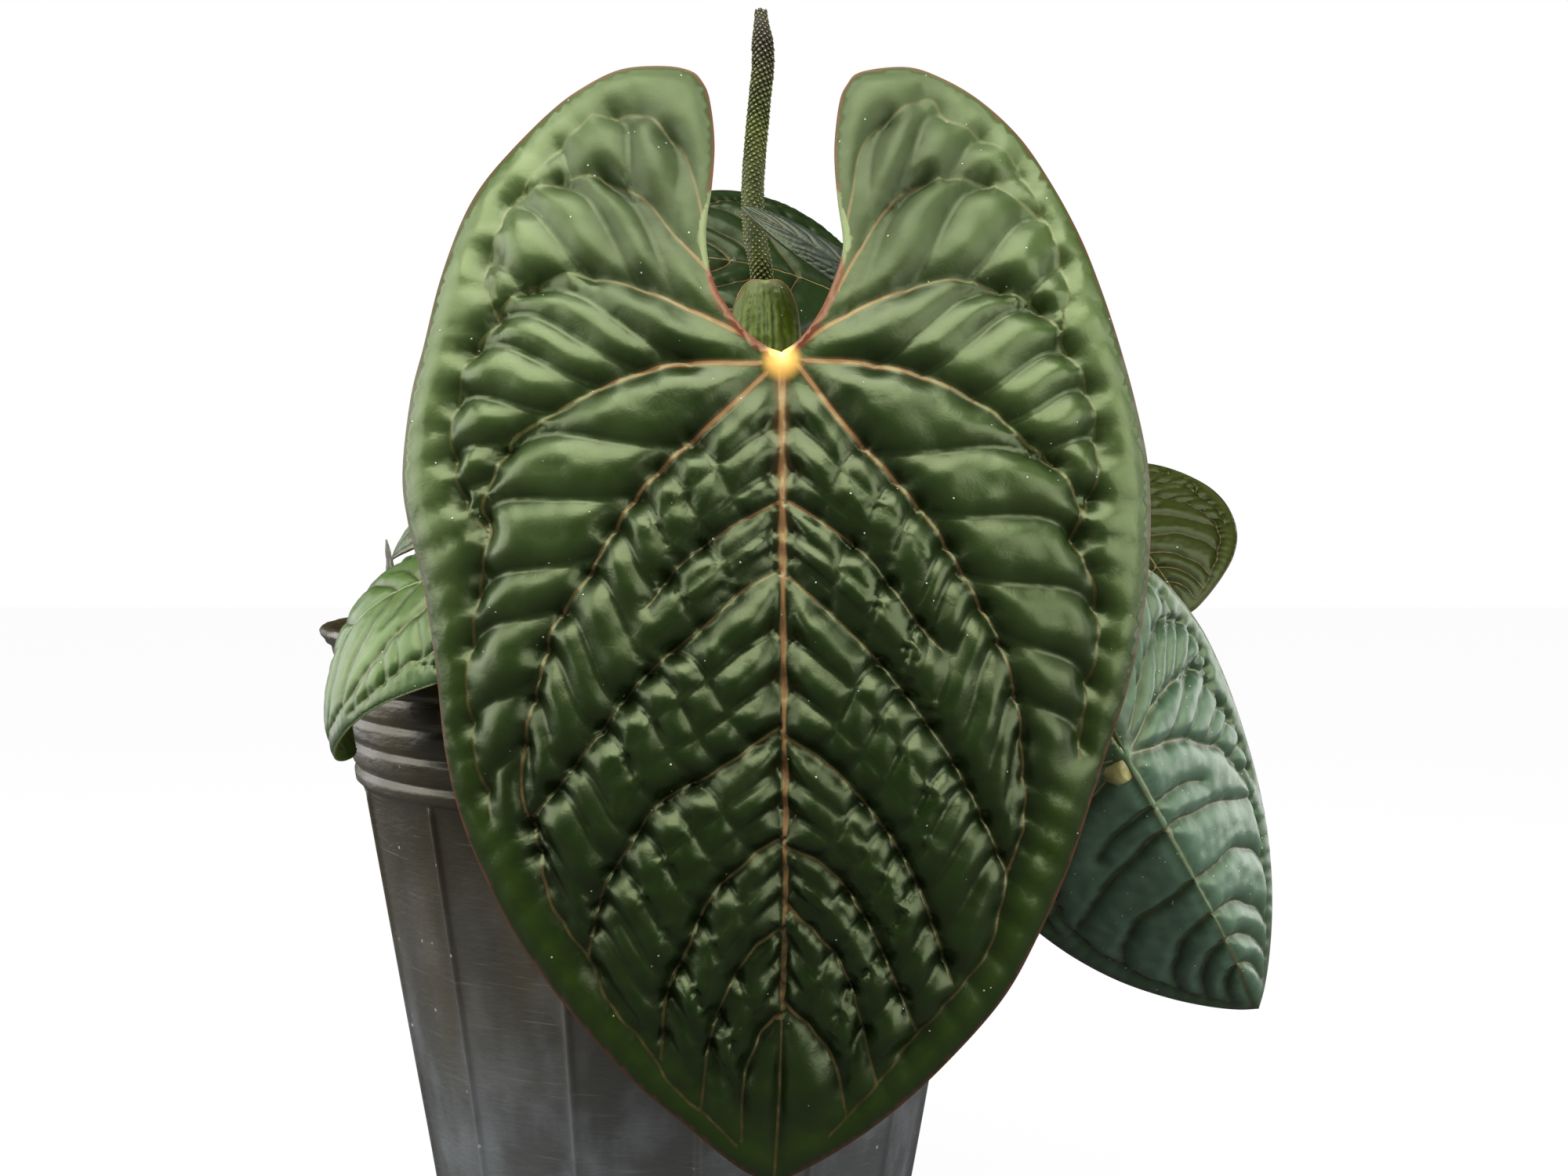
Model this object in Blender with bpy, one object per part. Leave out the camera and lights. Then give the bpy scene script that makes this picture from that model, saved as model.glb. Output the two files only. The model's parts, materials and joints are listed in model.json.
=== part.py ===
"""Potted anthurium: a ribbed nursery pot of bark mix with a heart-leaved plant.

Origin at the centre of the pot's flat base, +Z up, the large front blade faces -Y. Metres in the
file, millimetres in the numbers below.
"""
import math

import bpy
import numpy as np
from mathutils.bvhtree import BVHTree
from mathutils.geometry import delaunay_2d_cdt

MM = 0.001
GAP = 0.3  # air between neighbouring pieces

# ---- pot ----
POT_H = 150.0  # base to lip
RIM_R = 82.5  # outside, at the top of the band
BASE_R = 54.0
WALL = 1.2
BAND_H = 35.5  # the ribbed band below the lip
BAND_RIBS = 5
RIB_COUNT = 15  # narrow upright ribs below the band
RIB_PROUD = 0.7
DRAIN_R = 4.5
DRAIN_COUNT = 8
# ---- potting mix ----
MIX_DROP = 15.0  # lip down to the mix at the wall
MIX_MOUND = 2.0
# ---- stem ----
STEM_R = 8.0
STEM_SINK = 25.0  # how deep the stem stands in its socket
STEM_SHOW = 31.0  # stem above the mix
# ---- leaves ----
LEAF_T = 1.0
FRONT_L = 153.0  # joint to tip of the front blade

MIX_Z = POT_H - MIX_DROP + MIX_MOUND
STEM_TOP = MIX_Z + STEM_SHOW
SPREAD = RIM_R / 82.5  # places in plan are given for an 82.5 mm rim

# Front blade, mm across and up from its joint, from the notch between the lobes round to the tip
FRONT_LEFT = [
    (0, 0.9), (-3.2, 2.6), (-6.8, 5.5), (-9.7, 9.2), (-11.9, 12.8), (-13.4, 17.2), (-14.1, 23),
    (-13.8, 27.3), (-13.1, 31.7), (-12.5, 40.4), (-13.4, 48.4), (-14.8, 51.8), (-17, 53.8),
    (-22.1, 54.7), (-30.1, 54), (-37.4, 50.4), (-43.2, 46), (-50.5, 38.7), (-55.9, 32.2),
    (-59.8, 25), (-63.6, 14.3), (-66.5, 2.6), (-68.9, -7), (-70.4, -20.7), (-69.4, -30),
    (-66.5, -42), (-64.2, -57), (-62.4, -73), (-59.2, -86), (-54.1, -98), (-48.6, -108),
    (-40.3, -119.6), (-28.7, -132.7), (-18.5, -141.4), (-8.3, -149.6), (-1.5, -153)]
FRONT_RIGHT = [
    (0, 0.9), (3.3, 3.8), (6.3, 7.7), (8.6, 12.1), (10.9, 18.6), (11.3, 23), (10.3, 30.3),
    (9.7, 39), (10.6, 47.7), (12.1, 51.3), (14.7, 53.6), (23, 54.5), (29.5, 52.5), (36.8, 48.2),
    (44.1, 41.4), (49.9, 33), (55, 23.7), (58.6, 15), (62.3, 4.1), (65.9, -9), (68.1, -21),
    (68.3, -35.2), (66.7, -49.7), (63.8, -62), (60.6, -71.6), (57.6, -81), (53.5, -93.4),
    (47.7, -106.5), (40.9, -118.6), (29.9, -131), (19.3, -140.5), (9.2, -147.4), (-1.5, -153)]
# Any other blade: across in half widths, up in joint-to-tip lengths
HEART = [
    (0, 0.006), (0.05, 0.02), (0.12, 0.055), (0.17, 0.1), (0.19, 0.16), (0.18, 0.24),
    (0.2, 0.31), (0.27, 0.35), (0.38, 0.355), (0.52, 0.33), (0.66, 0.275), (0.78, 0.2),
    (0.87, 0.11), (0.94, 0.01), (0.99, -0.1), (1, -0.2), (0.98, -0.31), (0.93, -0.43),
    (0.85, -0.56), (0.74, -0.68), (0.59, -0.79), (0.41, -0.88), (0.24, -0.945), (0.1, -0.985),
    (0, -1)]
LANCE = [
    (0, 0.004), (0.35, 0.012), (0.62, -0.04), (0.85, -0.16), (0.98, -0.32), (0.97, -0.48),
    (0.84, -0.64), (0.62, -0.78), (0.36, -0.9), (0.14, -0.97), (0, -1)]

# name: joint (x, y, above the lip), way to the tip, way the face looks, length, half width,
# bend along, fold at the midrib, roll across (degrees), outline, spacing, joint inset
LEAVES = {
    "left": ((-34, -83, 14), (-0.99, -0.1, -0.01), (-0.14, -0.54, 0.83), 63, 26, 118, 6, 43,
             HEART, 8),
    "right_lower": ((94, -82, -22), (0.47, 0.48, -0.74), (-0.07, -0.96, 0.27), 89, 45, 8, -29, 47,
                    HEART, 11),
    "right_upper": ((109, 35, 30), (0.2, -0.92, -0.33), (-0.18, -0.73, 0.66), 56, 30, 23, 10, 30,
                    HEART, 9),
    "back": ((56, 63, 77), (-0.52, -0.73, 0.42), (0.18, -0.71, 0.61), 85, 40, 51, 10, 22,
             HEART, 10),
    "young": ((46, -56, 74), (-0.81, -0.06, 0.57), (0.28, -0.64, 0.67), 33, 6.5, 11, 10, 29,
              HEART, 5),
    "left_back": ((-42, 16, 38), (-0.95, 0.05, -0.3), (-0.3, -0.4, 0.86), 42, 17, 40, 12, 40,
                  HEART, 7),
}
# name: side of the stem (degrees from +X), height up the shown stem, radius, way points between
PETIOLES = {
    "front": (-76, 20, 2.1, [(9, -34, 24), (19, -70, 45)]),
    "left": (-135, 9, 1.8, [(-20, -40, 13), (-30, -68, 8)]),
    "right_lower": (-30, 13, 2.0, [(34, -22, 24), (72, -48, 22), (91, -64, -2)]),
    "right_upper": (10, 18, 1.8, [(42, 17, 15), (86, 38, 10)]),
    "back": (66, 18, 1.9, [(18, 36, 36), (42, 68, 58)]),
    "young": (-42, 27, 1.1, [(22, -20, 42), (38, -42, 62)]),
    "left_back": (158, 15, 1.3, [(-18, 7, 15), (-33, 12, 28)]),
}
ROOTS = [(-105, 10, 24), (-12, 9, 27), (126, 11, 22), (-168, 7, 26)]  # side, height, reach


def unit(v):
    v = np.asarray(v, float)
    return v / np.linalg.norm(v)


def spot(x, y, up):
    """A place given in plan for the standard rim and above the lip."""
    return np.array([x * SPREAD, y * SPREAD, POT_H + up])


def curve(points, step):
    """A smooth curve through the points, cut into equal lengths of about one step."""
    p = np.asarray(points, float)
    ext = np.vstack([2 * p[0] - p[1], p, 2 * p[-1] - p[-2]])
    t = np.linspace(0, 1, 16, endpoint=False)[:, None]
    out = []
    for a, b, c, d in zip(ext, ext[1:], ext[2:], ext[3:]):
        out.append(0.5 * (2 * b + (c - a) * t + (2 * a - 5 * b + 4 * c - d) * t * t
                          + (3 * b - a - 3 * c + d) * t ** 3))
    fine = np.vstack(out + [p[-1:]])
    run = np.append(0, np.cumsum(np.linalg.norm(np.diff(fine, axis=0), axis=1)))
    stops = np.linspace(0, run[-1], max(2, round(run[-1] / step)) + 1)
    return np.stack([np.interp(stops, run, fine[:, k]) for k in range(fine.shape[1])], axis=1)


def material(name, color, roughness, coat=0.0):
    mat = bpy.data.materials.new(name)
    mat.use_nodes = True
    bsdf = mat.node_tree.nodes["Principled BSDF"]
    bsdf.inputs["Base Color"].default_value = (*color, 1)
    bsdf.inputs["Roughness"].default_value = roughness
    bsdf.inputs["Coat Weight"].default_value = coat
    return mat


def add_object(name, verts, faces, mat):
    mesh = bpy.data.meshes.new(name)
    mesh.from_pydata((np.asarray(verts) * MM).tolist(), [], faces)
    mesh.validate()
    mesh.materials.append(mat)
    obj = bpy.data.objects.new(name, mesh)
    bpy.context.scene.collection.objects.link(obj)
    return obj


def revolve(profile, azimuths, bump=None):
    """Turn a closed (radius, z) profile about Z. Its first and last points lie on the axis."""
    n, m = len(azimuths), len(profile)
    verts, rings = [], []
    for i, (r, z) in enumerate(profile):
        if r == 0:
            rings.append([len(verts)] * n)
            verts.append((0, 0, z))
            continue
        rings.append(range(len(verts), len(verts) + n))
        for j, az in enumerate(azimuths):
            rj = r + (bump[i] * (j % 5 == 1) if bump else 0)
            verts.append((rj * math.cos(az), rj * math.sin(az), z))
    faces = []
    for i in range(m - 1):
        for j in range(n):
            k = (j + 1) % n
            ring = [rings[i][j], rings[i][k], rings[i + 1][k], rings[i + 1][j]]
            faces.append(list(dict.fromkeys(ring)))
    return verts, [f for f in faces if len(f) > 2]


def tube(name, path, radii, mat, sides=9, ends=(None, None)):
    """A closed round bar along a path, its radius read off a short list from start to end."""
    path = np.asarray(path)
    at = np.linspace(0, 1, len(path))
    radius = np.interp(at, np.linspace(0, 1, len(radii)), radii)
    ahead = np.gradient(path, axis=0)
    for i, way in zip((0, -1), ends):
        if way is not None:
            ahead[i] = way
    side = unit(np.cross(ahead[0], (0.3, 0.2, 1)))
    verts, faces = [], []
    for p, r, d in zip(path, radius, ahead):
        d = unit(d)
        side = unit(side - d * np.dot(side, d))
        up = np.cross(d, side)
        for j in range(sides):
            a = 2 * math.pi * j / sides
            verts.append(p + r * (math.cos(a) * side + math.sin(a) * up))
    n = len(path)
    for i in range(n - 1):
        for j in range(sides):
            k = (j + 1) % sides
            faces.append([i * sides + j, i * sides + k, (i + 1) * sides + k, (i + 1) * sides + j])
    faces.append(list(range(sides))[::-1])
    faces.append([(n - 1) * sides + j for j in range(sides)])
    return add_object(name, verts, faces, mat)


def arc(start, rate, run):
    """How far along and how far up a line gets that starts at one angle and turns steadily."""
    if abs(rate) < 1e-6:
        return run * math.cos(start), run * math.sin(start)
    end = start + rate * run
    return (math.sin(end) - math.sin(start)) / rate, (math.cos(start) - math.cos(end)) / rate


def bent(leaf):
    """Flat blade place -> mm, for a blade that bends along, folds and rolls across."""
    joint, tip_way, face_way, length, half, bend, fold, roll = leaf[:8]
    t = unit(tip_way)
    n = unit(np.asarray(face_way, float) - np.dot(face_way, t) * t)
    across = np.cross(n, t)
    bend, fold, roll = (math.radians(a) for a in (bend, fold, roll))

    def place(x, y):
        along, drop = arc(0, bend / length, -y)
        out, rise = arc(fold, -(fold + roll) / half, abs(x))
        turn = -y * bend / length
        local_n = n * math.cos(turn) + t * math.sin(turn)
        return (spot(*joint) + t * along - n * drop + local_n * rise
                + across * math.copysign(out, x))
    return place


def front(x, y):
    """The front blade hangs almost upright: lobes lean back, the tip and the sides turn back."""
    size = FRONT_L / 153.0
    s = -y / size
    u = abs(x) / size
    h = 0.2 * s - 0.0017 * s * s - (0.0036 * s * s if s < 0 else 0)
    h += 3.0 * (1 - math.exp(-u / 8)) - 0.0026 * u * u
    flare = 1 - h / 320
    centre = spot(26.3, -102, 54)
    return centre + np.array([x * flare, -h * size, y * flare + 29 * (flare - 1)])


def inside(pts, loop):
    """Which points lie in a closed outline."""
    a, b = loop, np.roll(loop, -1, axis=0)
    x, y = pts[:, :1], pts[:, 1:]
    cross = (a[:, 1] > y) != (b[:, 1] > y)
    with np.errstate(divide="ignore", invalid="ignore"):
        at = a[:, 0] + (y - a[:, 1]) * (b[:, 0] - a[:, 0]) / (b[:, 1] - a[:, 1])
    return (np.sum(cross & (x < at), axis=1) % 2) == 1


def blade(name, left, right, step, place, mat):
    """A thin closed sheet: outline and an even filling cut into triangles, laid on the surface."""
    right, left = curve(right, step), curve(left, step)
    loop = np.vstack([right[:-1], left[::-1][:-1]])
    lo, hi = loop.min(0), loop.max(0)
    rows = np.arange(lo[1], hi[1], step * 0.866)
    grid = np.array([(lo[0] + (i + 0.5 * (j % 2)) * step, y) for j, y in enumerate(rows)
                     for i in range(int((hi[0] - lo[0]) / step) + 2)])
    near = np.linalg.norm(grid[:, None] - loop[None], axis=2).min(1)
    grid = grid[inside(grid, loop) & (near > 0.62 * step)]
    pts = np.vstack([loop, grid])
    edges = [(i, (i + 1) % len(loop)) for i in range(len(loop))]
    flat, _, tris, *_ = delaunay_2d_cdt([tuple(p) for p in pts], edges, [], 1, 1e-5)
    flat = np.array([tuple(p) for p in flat])
    top = np.array([place(*p) for p in flat])
    tri = np.array(tris)
    facing = np.cross(top[tri[:, 1]] - top[tri[:, 0]], top[tri[:, 2]] - top[tri[:, 0]])
    normal = np.zeros_like(top)
    for k in range(3):
        np.add.at(normal, tri[:, k], facing)
    normal /= np.linalg.norm(normal, axis=1)[:, None]
    n = len(top)
    verts = np.vstack([top, top - normal * LEAF_T])
    faces = [list(t) for t in tris] + [[a + n, c + n, b + n] for a, b, c in tris]
    seen = {(t[k], t[(k + 1) % 3]) for t in tris for k in range(3)}
    faces += [[b, a, a + n, b + n] for a, b in seen if (b, a) not in seen]
    return add_object(name, verts, faces, mat)


def stalk_end(blade_obj, place, inset, radius):
    """Where a stalk of this radius stops, one gap short of the back of its blade."""
    d = 0.5
    here = place(0, -inset)
    n = unit(np.cross(place(d, -inset) - place(-d, -inset), place(0, d - inset) - here))
    tree = BVHTree.FromObject(blade_obj, bpy.context.evaluated_depsgraph_get())
    side = unit(np.cross(n, (0.2, 0.3, 1)))
    up = np.cross(n, side)
    first = 1e9
    for r in (0, 0.5 * radius, radius, 1.1 * radius):
        for a in np.linspace(0, 2 * math.pi, 12, endpoint=False):
            start = here + r * (math.cos(a) * side + math.sin(a) * up) - n * 12
            hit = tree.ray_cast((start * MM).tolist(), n.tolist(), 0.02)
            if hit[3] is not None:
                first = min(first, hit[3] / MM)
    return here + n * (first - 12 - GAP), n


def stem_side(az, height, radius, rise):
    """Where a stalk leaves the stem: a disc of this radius, tilted up, clear of the bark."""
    out = np.array([math.cos(math.radians(az)), math.sin(math.radians(az)), 0])
    start = out * (STEM_R + GAP + radius * abs(math.sin(rise)) + 0.1)
    return start + np.array([0, 0, MIX_Z + height]), unit(out * math.cos(rise)
                                                          + np.array([0, 0, math.sin(rise)]))


def remove_all():
    for obj in list(bpy.data.objects):
        bpy.data.objects.remove(obj, do_unlink=True)


def build_pot(mat):
    slope = (RIM_R - BASE_R - 1.5) / POT_H

    def wall_r(z):
        return BASE_R + slope * z

    foot = POT_H - BAND_H
    prof = [(0, 0), (BASE_R * 0.55, 0), (BASE_R - 2.5, 0), (BASE_R - 0.6, 0.8), (wall_r(3), 3)]
    prof += [(wall_r(z), z) for z in (foot * 0.35, foot * 0.7, foot - 2)]
    upright = [0, 0, 0, 0] + [RIB_PROUD] * (len(prof) - 5) + [0.0]
    prof += [(wall_r(foot) + 0.2, foot - 0.6), (wall_r(foot) + 1.0, foot)]
    pitch = (BAND_H - 5) / BAND_RIBS
    for i in range(BAND_RIBS):
        z = foot + (i + 0.25) * pitch
        prof += [(wall_r(z) + 1.0, z), (wall_r(z) + 0.3, z + 0.3 * pitch),
                 (wall_r(z) + 1.1, z + 0.6 * pitch)]
    prof += [(RIM_R + 0.4, POT_H - 3), (RIM_R + 1.4, POT_H - 1.2), (RIM_R + 0.6, POT_H),
             (RIM_R - 1.2, POT_H - 0.2), (RIM_R - 2.0, POT_H - 2.5)]
    prof += [(wall_r(z) - WALL, z) for z in (foot, foot * 0.5, WALL + 2)]
    prof += [(BASE_R - WALL - 1.2, WALL), (BASE_R * 0.55, WALL), (0, WALL)]
    bump = (upright + [0.0] * len(prof))[:len(prof)]
    pot = add_object("pot", *revolve(prof, AZIMUTHS, bump), mat)

    cutter_v, cutter_f = [], []
    for k in range(DRAIN_COUNT):
        a = 2 * math.pi * (k + 0.5) / DRAIN_COUNT
        c = np.array([0.7 * BASE_R * math.cos(a), 0.7 * BASE_R * math.sin(a)])
        base = len(cutter_v)
        for z in (-2, WALL + 2):
            cutter_v += [(c[0] + DRAIN_R * math.cos(t), c[1] + DRAIN_R * math.sin(t), z)
                         for t in np.linspace(0, 2 * math.pi, 14, endpoint=False)]
        cutter_f += [[base + j, base + (j + 1) % 14, base + 14 + (j + 1) % 14, base + 14 + j]
                     for j in range(14)]
        cutter_f += [[base + j for j in range(14)][::-1], [base + 14 + j for j in range(14)]]
    cutter = add_object("drain_cutter", cutter_v, cutter_f, mat)
    cutter.hide_render = True
    cutter.display_type = "WIRE"
    cut = pot.modifiers.new("drain holes", "BOOLEAN")
    cut.operation = "DIFFERENCE"
    cut.solver = "EXACT"
    cut.object = cutter
    return wall_r


def build_mix(mat, wall_r):
    """The bark mix fills the pot to just below the lip and holds a socket for the stem."""
    edge = POT_H - MIX_DROP
    low = WALL + GAP
    sock = STEM_R + GAP
    sock_z = MIX_Z - STEM_SINK - GAP
    prof = [(0, low), (BASE_R - WALL - 3, low), (wall_r(low + 3) - WALL - GAP - 0.1, low + 3),
            (wall_r(edge * 0.5) - WALL - GAP, edge * 0.5), (wall_r(edge) - WALL - GAP, edge)]
    top_r = prof[-1][0]
    prof += [(r * top_r, edge + MIX_MOUND * (1 - r * r)) for r in (0.8, 0.55, 0.3)]
    prof += [(sock, MIX_Z - 0.1), (sock, sock_z), (0, sock_z)]
    add_object("potting_mix", *revolve(prof, AZIMUTHS), mat)


def mix_top(r):
    top_r = RIM_R - 7
    return POT_H - MIX_DROP + MIX_MOUND * (1 - (r / top_r) ** 2)


AZIMUTHS = [math.radians(-90 - 16 + 24 * k + d) for k in range(RIB_COUNT)
            for d in (-1.2, 0, 1.2, 9, 16.5)]


def main():
    remove_all()
    plastic = material("pot_plastic", (0.02, 0.019, 0.017), 0.35, 0.3)
    bark = material("bark_mix", (0.09, 0.055, 0.032), 0.9)
    bark_stem = material("stem_bark", (0.12, 0.1, 0.05), 0.7)
    root = material("root_skin", (0.22, 0.17, 0.1), 0.7)
    stalk = material("stalk_green", (0.09, 0.1, 0.03), 0.4)
    leaf_mats = {
        "front": material("front_leaf_green", (0.03, 0.05, 0.015), 0.35),
        "left": material("left_leaf_green", (0.05, 0.09, 0.05), 0.4),
        "right_lower": material("right_leaf_green", (0.03, 0.06, 0.045), 0.4),
        "right_upper": material("bronze_leaf", (0.05, 0.05, 0.015), 0.4),
        "back": material("back_leaf_green", (0.02, 0.04, 0.012), 0.4),
        "young": material("young_leaf_silver", (0.13, 0.15, 0.14), 0.45),
        "left_back": material("left_back_leaf_green", (0.02, 0.04, 0.015), 0.4),
    }
    spathe = material("spathe_green", (0.1, 0.15, 0.02), 0.4)
    spadix = material("spadix_olive", (0.08, 0.085, 0.04), 0.6)
    papery = material("cataphyll_brown", (0.16, 0.12, 0.07), 0.8)

    wall_r = build_pot(plastic)
    build_mix(bark, wall_r)

    low = MIX_Z - STEM_SINK
    tube("stem", [(0, 0, z) for z in np.linspace(low, STEM_TOP, 12)],
         [STEM_R - 1.5] + [STEM_R] * 9 + [STEM_R - 1, STEM_R - 3.5], bark_stem, 20)

    places = {name: bent(leaf) for name, leaf in LEAVES.items()}
    places["front"] = front
    size = FRONT_L / 153
    blades = {"front": blade("front_blade", np.multiply(FRONT_LEFT, size),
                             np.multiply(FRONT_RIGHT, size), 11, front, leaf_mats["front"])}
    for name, leaf in LEAVES.items():
        length, half, outline, step = leaf[3], leaf[4], leaf[8], leaf[9]
        right = np.array(outline) * (half, length)
        blades[name] = blade(name + "_blade", right * (-1, 1), right, step, places[name],
                             leaf_mats[name])

    for name, (az, height, radius, way) in PETIOLES.items():
        start, out = stem_side(az, height, radius, math.radians(35))
        end, arrive = stalk_end(blades[name], places[name], radius + 1.2, radius * 1.15)
        pts = [start, start + out * 5] + [spot(*w) for w in way] + [end - arrive * 5, end]
        tube(name + "_petiole", curve(pts, 9), [radius] * 7 + [radius * 1.15] * 2,
             stalk, ends=(out, arrive))

    # the flower stalk stands on the stem's top and carries the spadix and its turned-down spathe
    top = spot(22, -43, 76)
    path = [np.array([0, 0, STEM_TOP + GAP + 0.4]), np.array([0, 0, STEM_TOP + 8]), spot(5, -9, 38),
            spot(15, -28, 58), top - np.array([0, 0, 4]), top]
    up = (0, 0, 1)
    tube("peduncle", curve(path, 9), [2.2, 2.0, 2.0, 2.1], stalk, ends=(up, up))
    rod = [(0, 0), (-0.4, 4), (-1.7, 11), (-2.2, 20), (-1.6, 30), (-0.6, 41), (0.1, 49), (-0.4, 60)]
    tube("spadix", curve([top + np.array([x, 0, z + GAP + 0.3]) for x, z in rod], 5),
         [2.0, 2.6, 2.7, 2.6, 2.6, 2.5, 2.4, 2.3, 2.3, 2.2, 1.2], spadix, 10,
         ends=(up, None))
    skirt = ((22.6, -46.6, 76.5), (0.02, -0.5, -0.86), (0.02, -0.86, 0.5), 36, 9.5, 38, 4, 62)
    blade("spathe", np.array(LANCE) * (-9.5, 36), np.array(LANCE) * (9.5, 36), 4.5, bent(skirt),
          spathe)

    for k, (az, height, reach) in enumerate(ROOTS, 1):
        start, out = stem_side(az, height, 1.25, math.radians(-10))
        flat = unit(out * (1, 1, 0))
        end = flat * reach
        end[2] = mix_top(reach) + GAP + 1.35
        mid = flat * (STEM_R + 8)
        mid[2] = mix_top(reach) + height * 0.6 + 2
        down = np.array([0, 0, -0.2])
        pts = [start, start + out * 2.5, mid, end - flat * 4 - down * 8, end]
        tube(f"aerial_root_{k}", curve(pts, 5), [1.25, 1.25, 1.25, 0.9], root, 8,
             ends=(out, None))

    # papery sheaths left on the stem, and the pointed bud of an offset by the wall
    for k, (az, height, long) in enumerate(((96, 2.5, 30), (40, 1.5, 24)), 1):
        out = np.array([math.cos(math.radians(az)), math.sin(math.radians(az)), 0])
        base = out * (STEM_R + 1.6)
        joint = (base[0] / SPREAD, base[1] / SPREAD, MIX_Z - POT_H + height)
        wide = long * 0.12
        sheath = (joint, out * 0.28 + (0, 0, 1), out, long, wide, -14, 0, 30)
        blade(f"cataphyll_{k}", np.array(LANCE) * (-wide, long), np.array(LANCE) * (wide, long),
              5, bent(sheath), papery)
    at = spot(-68, 3, 0)
    base_z = mix_top(math.hypot(*at[:2])) + GAP + 0.25
    tube("offset_shoot", [(at[0] - 2.2 * t, at[1] - 3 * t, base_z + 34 * t)
                          for t in np.linspace(0, 1, 8)],
         [3.6, 3.7, 3.2, 2.4, 1.5, 0.7, 0.25], papery, 9)


main()
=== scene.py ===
# %% [markdown]
# # A potted anthurium
# A heart-leaved anthurium in a thin black nursery pot. The plant is one large hanging leaf with
# smaller ones round it, a thin flower spike, and bark mix in the pot. The solid model is loaded
# first, as a frame that never moves. Every visible piece below stands for one of its nodes.

import json
import math
import random

import bpy
import numpy as np
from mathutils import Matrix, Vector, kdtree, noise
from mathutils.geometry import delaunay_2d_cdt

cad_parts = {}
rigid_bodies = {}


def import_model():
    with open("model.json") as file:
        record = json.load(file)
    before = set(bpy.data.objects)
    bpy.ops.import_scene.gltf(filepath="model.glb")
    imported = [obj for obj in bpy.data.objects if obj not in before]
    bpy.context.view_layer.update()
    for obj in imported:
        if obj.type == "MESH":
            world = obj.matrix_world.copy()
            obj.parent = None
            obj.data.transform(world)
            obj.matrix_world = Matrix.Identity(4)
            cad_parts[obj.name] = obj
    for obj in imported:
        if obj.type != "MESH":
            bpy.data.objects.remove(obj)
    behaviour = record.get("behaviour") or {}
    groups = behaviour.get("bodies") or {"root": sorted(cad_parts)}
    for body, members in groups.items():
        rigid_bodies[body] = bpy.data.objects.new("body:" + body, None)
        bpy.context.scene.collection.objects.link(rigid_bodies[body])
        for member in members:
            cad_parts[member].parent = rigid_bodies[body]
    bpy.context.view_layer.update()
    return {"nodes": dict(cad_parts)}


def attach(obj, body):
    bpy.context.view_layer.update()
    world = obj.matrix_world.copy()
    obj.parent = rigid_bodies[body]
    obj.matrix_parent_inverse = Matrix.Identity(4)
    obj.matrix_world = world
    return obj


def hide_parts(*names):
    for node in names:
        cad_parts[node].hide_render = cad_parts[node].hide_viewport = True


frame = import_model()
scene = bpy.context.scene
MM = 0.001  # lengths below are in millimetres
POT_H = 150.0
print("frame nodes:", len(frame["nodes"]))

# %% [markdown]
# ## Camera, light and floor
# The camera stands level, a little above the middle of the big leaf, with its view shifted.
# Leaves are satin, so what shows their quilting is a soft light from above: the slopes that face
# up pick it up and the others stay dark. Two windows reach the sides, and two weak lamps edge
# the plant from behind. The world looks white but gives the plant almost no light.

# %% Set up the studio
def add(name, data):
    """Put an object into the scene."""
    obj = bpy.data.objects.new(name, data)
    scene.collection.objects.link(obj)
    return obj


camera = add("camera", bpy.data.cameras.new("camera"))
camera.data.lens = 39.6
camera.data.sensor_width = 36
camera.location = (0.0267, -0.422, 0.1746)
camera.rotation_euler = (math.radians(90), 0, 0)
camera.data.shift_y = -0.044
scene.camera = camera
# square soft lights: place, the point each looks at, size, watts, tint
for name, place, target, size, watts, tint in (
        ("sky", (-0.02, -0.4, 0.95), (0.02, -0.08, 0.15), 1.0, 27, (1, 1, 0.93)),
        ("left window", (-0.85, -0.22, 0.5), (0, 0, 0.14), 0.9, 13, (1, 1, 0.97)),
        ("right window", (0.8, -0.55, 0.3), (0.05, 0, 0.12), 0.9, 12, (1, 1, 0.97)),
        ("left rim", (-0.6, 0.25, 0.15), (-0.06, 0, 0.1), 0.5, 2, (1, 1, 1)),
        ("right rim", (0.6, 0.25, 0.15), (0.06, 0, 0.1), 0.5, 2, (1, 1, 1))):
    lamp = bpy.data.lights.new(name, "AREA")
    lamp.size, lamp.energy, lamp.color = size, watts, tint
    obj = add(name, lamp)
    obj.location = place
    obj.rotation_euler = (Vector(target) - Vector(place)).to_track_quat("-Z", "Y").to_euler()

world = bpy.data.worlds.new("studio")
scene.world = world
world.use_nodes = True
sky = world.node_tree.nodes["Background"]
sky.inputs["Color"].default_value = (1, 1, 1, 1)
seen = world.node_tree.nodes.new("ShaderNodeLightPath").outputs["Is Camera Ray"]
strength = world.node_tree.nodes.new("ShaderNodeMapRange")
strength.inputs["To Min"].default_value = 0.03  # what lights the plant
strength.inputs["To Max"].default_value = 1.0  # what stands behind it
world.node_tree.links.new(seen, strength.inputs["Value"])
world.node_tree.links.new(strength.outputs[0], sky.inputs["Strength"])
scene.view_settings.view_transform = "Standard"
print("lights:", len(bpy.data.lights))

# %% [markdown]
# ## Helpers for nodes
# Materials and Geometry Nodes are both trees of nodes. One helper adds a node and fills its
# inputs, and a few short ones wrap the nodes that come up most.


# %% Build node trees
def put(tree, kind, values=(), **props):
    """Add a node. Values go from an input's name or number to a number or another output."""
    node = tree.nodes.new(kind)
    for key, value in props.items():
        setattr(node, key, value)
    for key, value in dict(values).items():
        if isinstance(value, bpy.types.NodeSocket):
            tree.links.new(value, node.inputs[key])
        else:
            node.inputs[key].default_value = value
    return node


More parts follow.
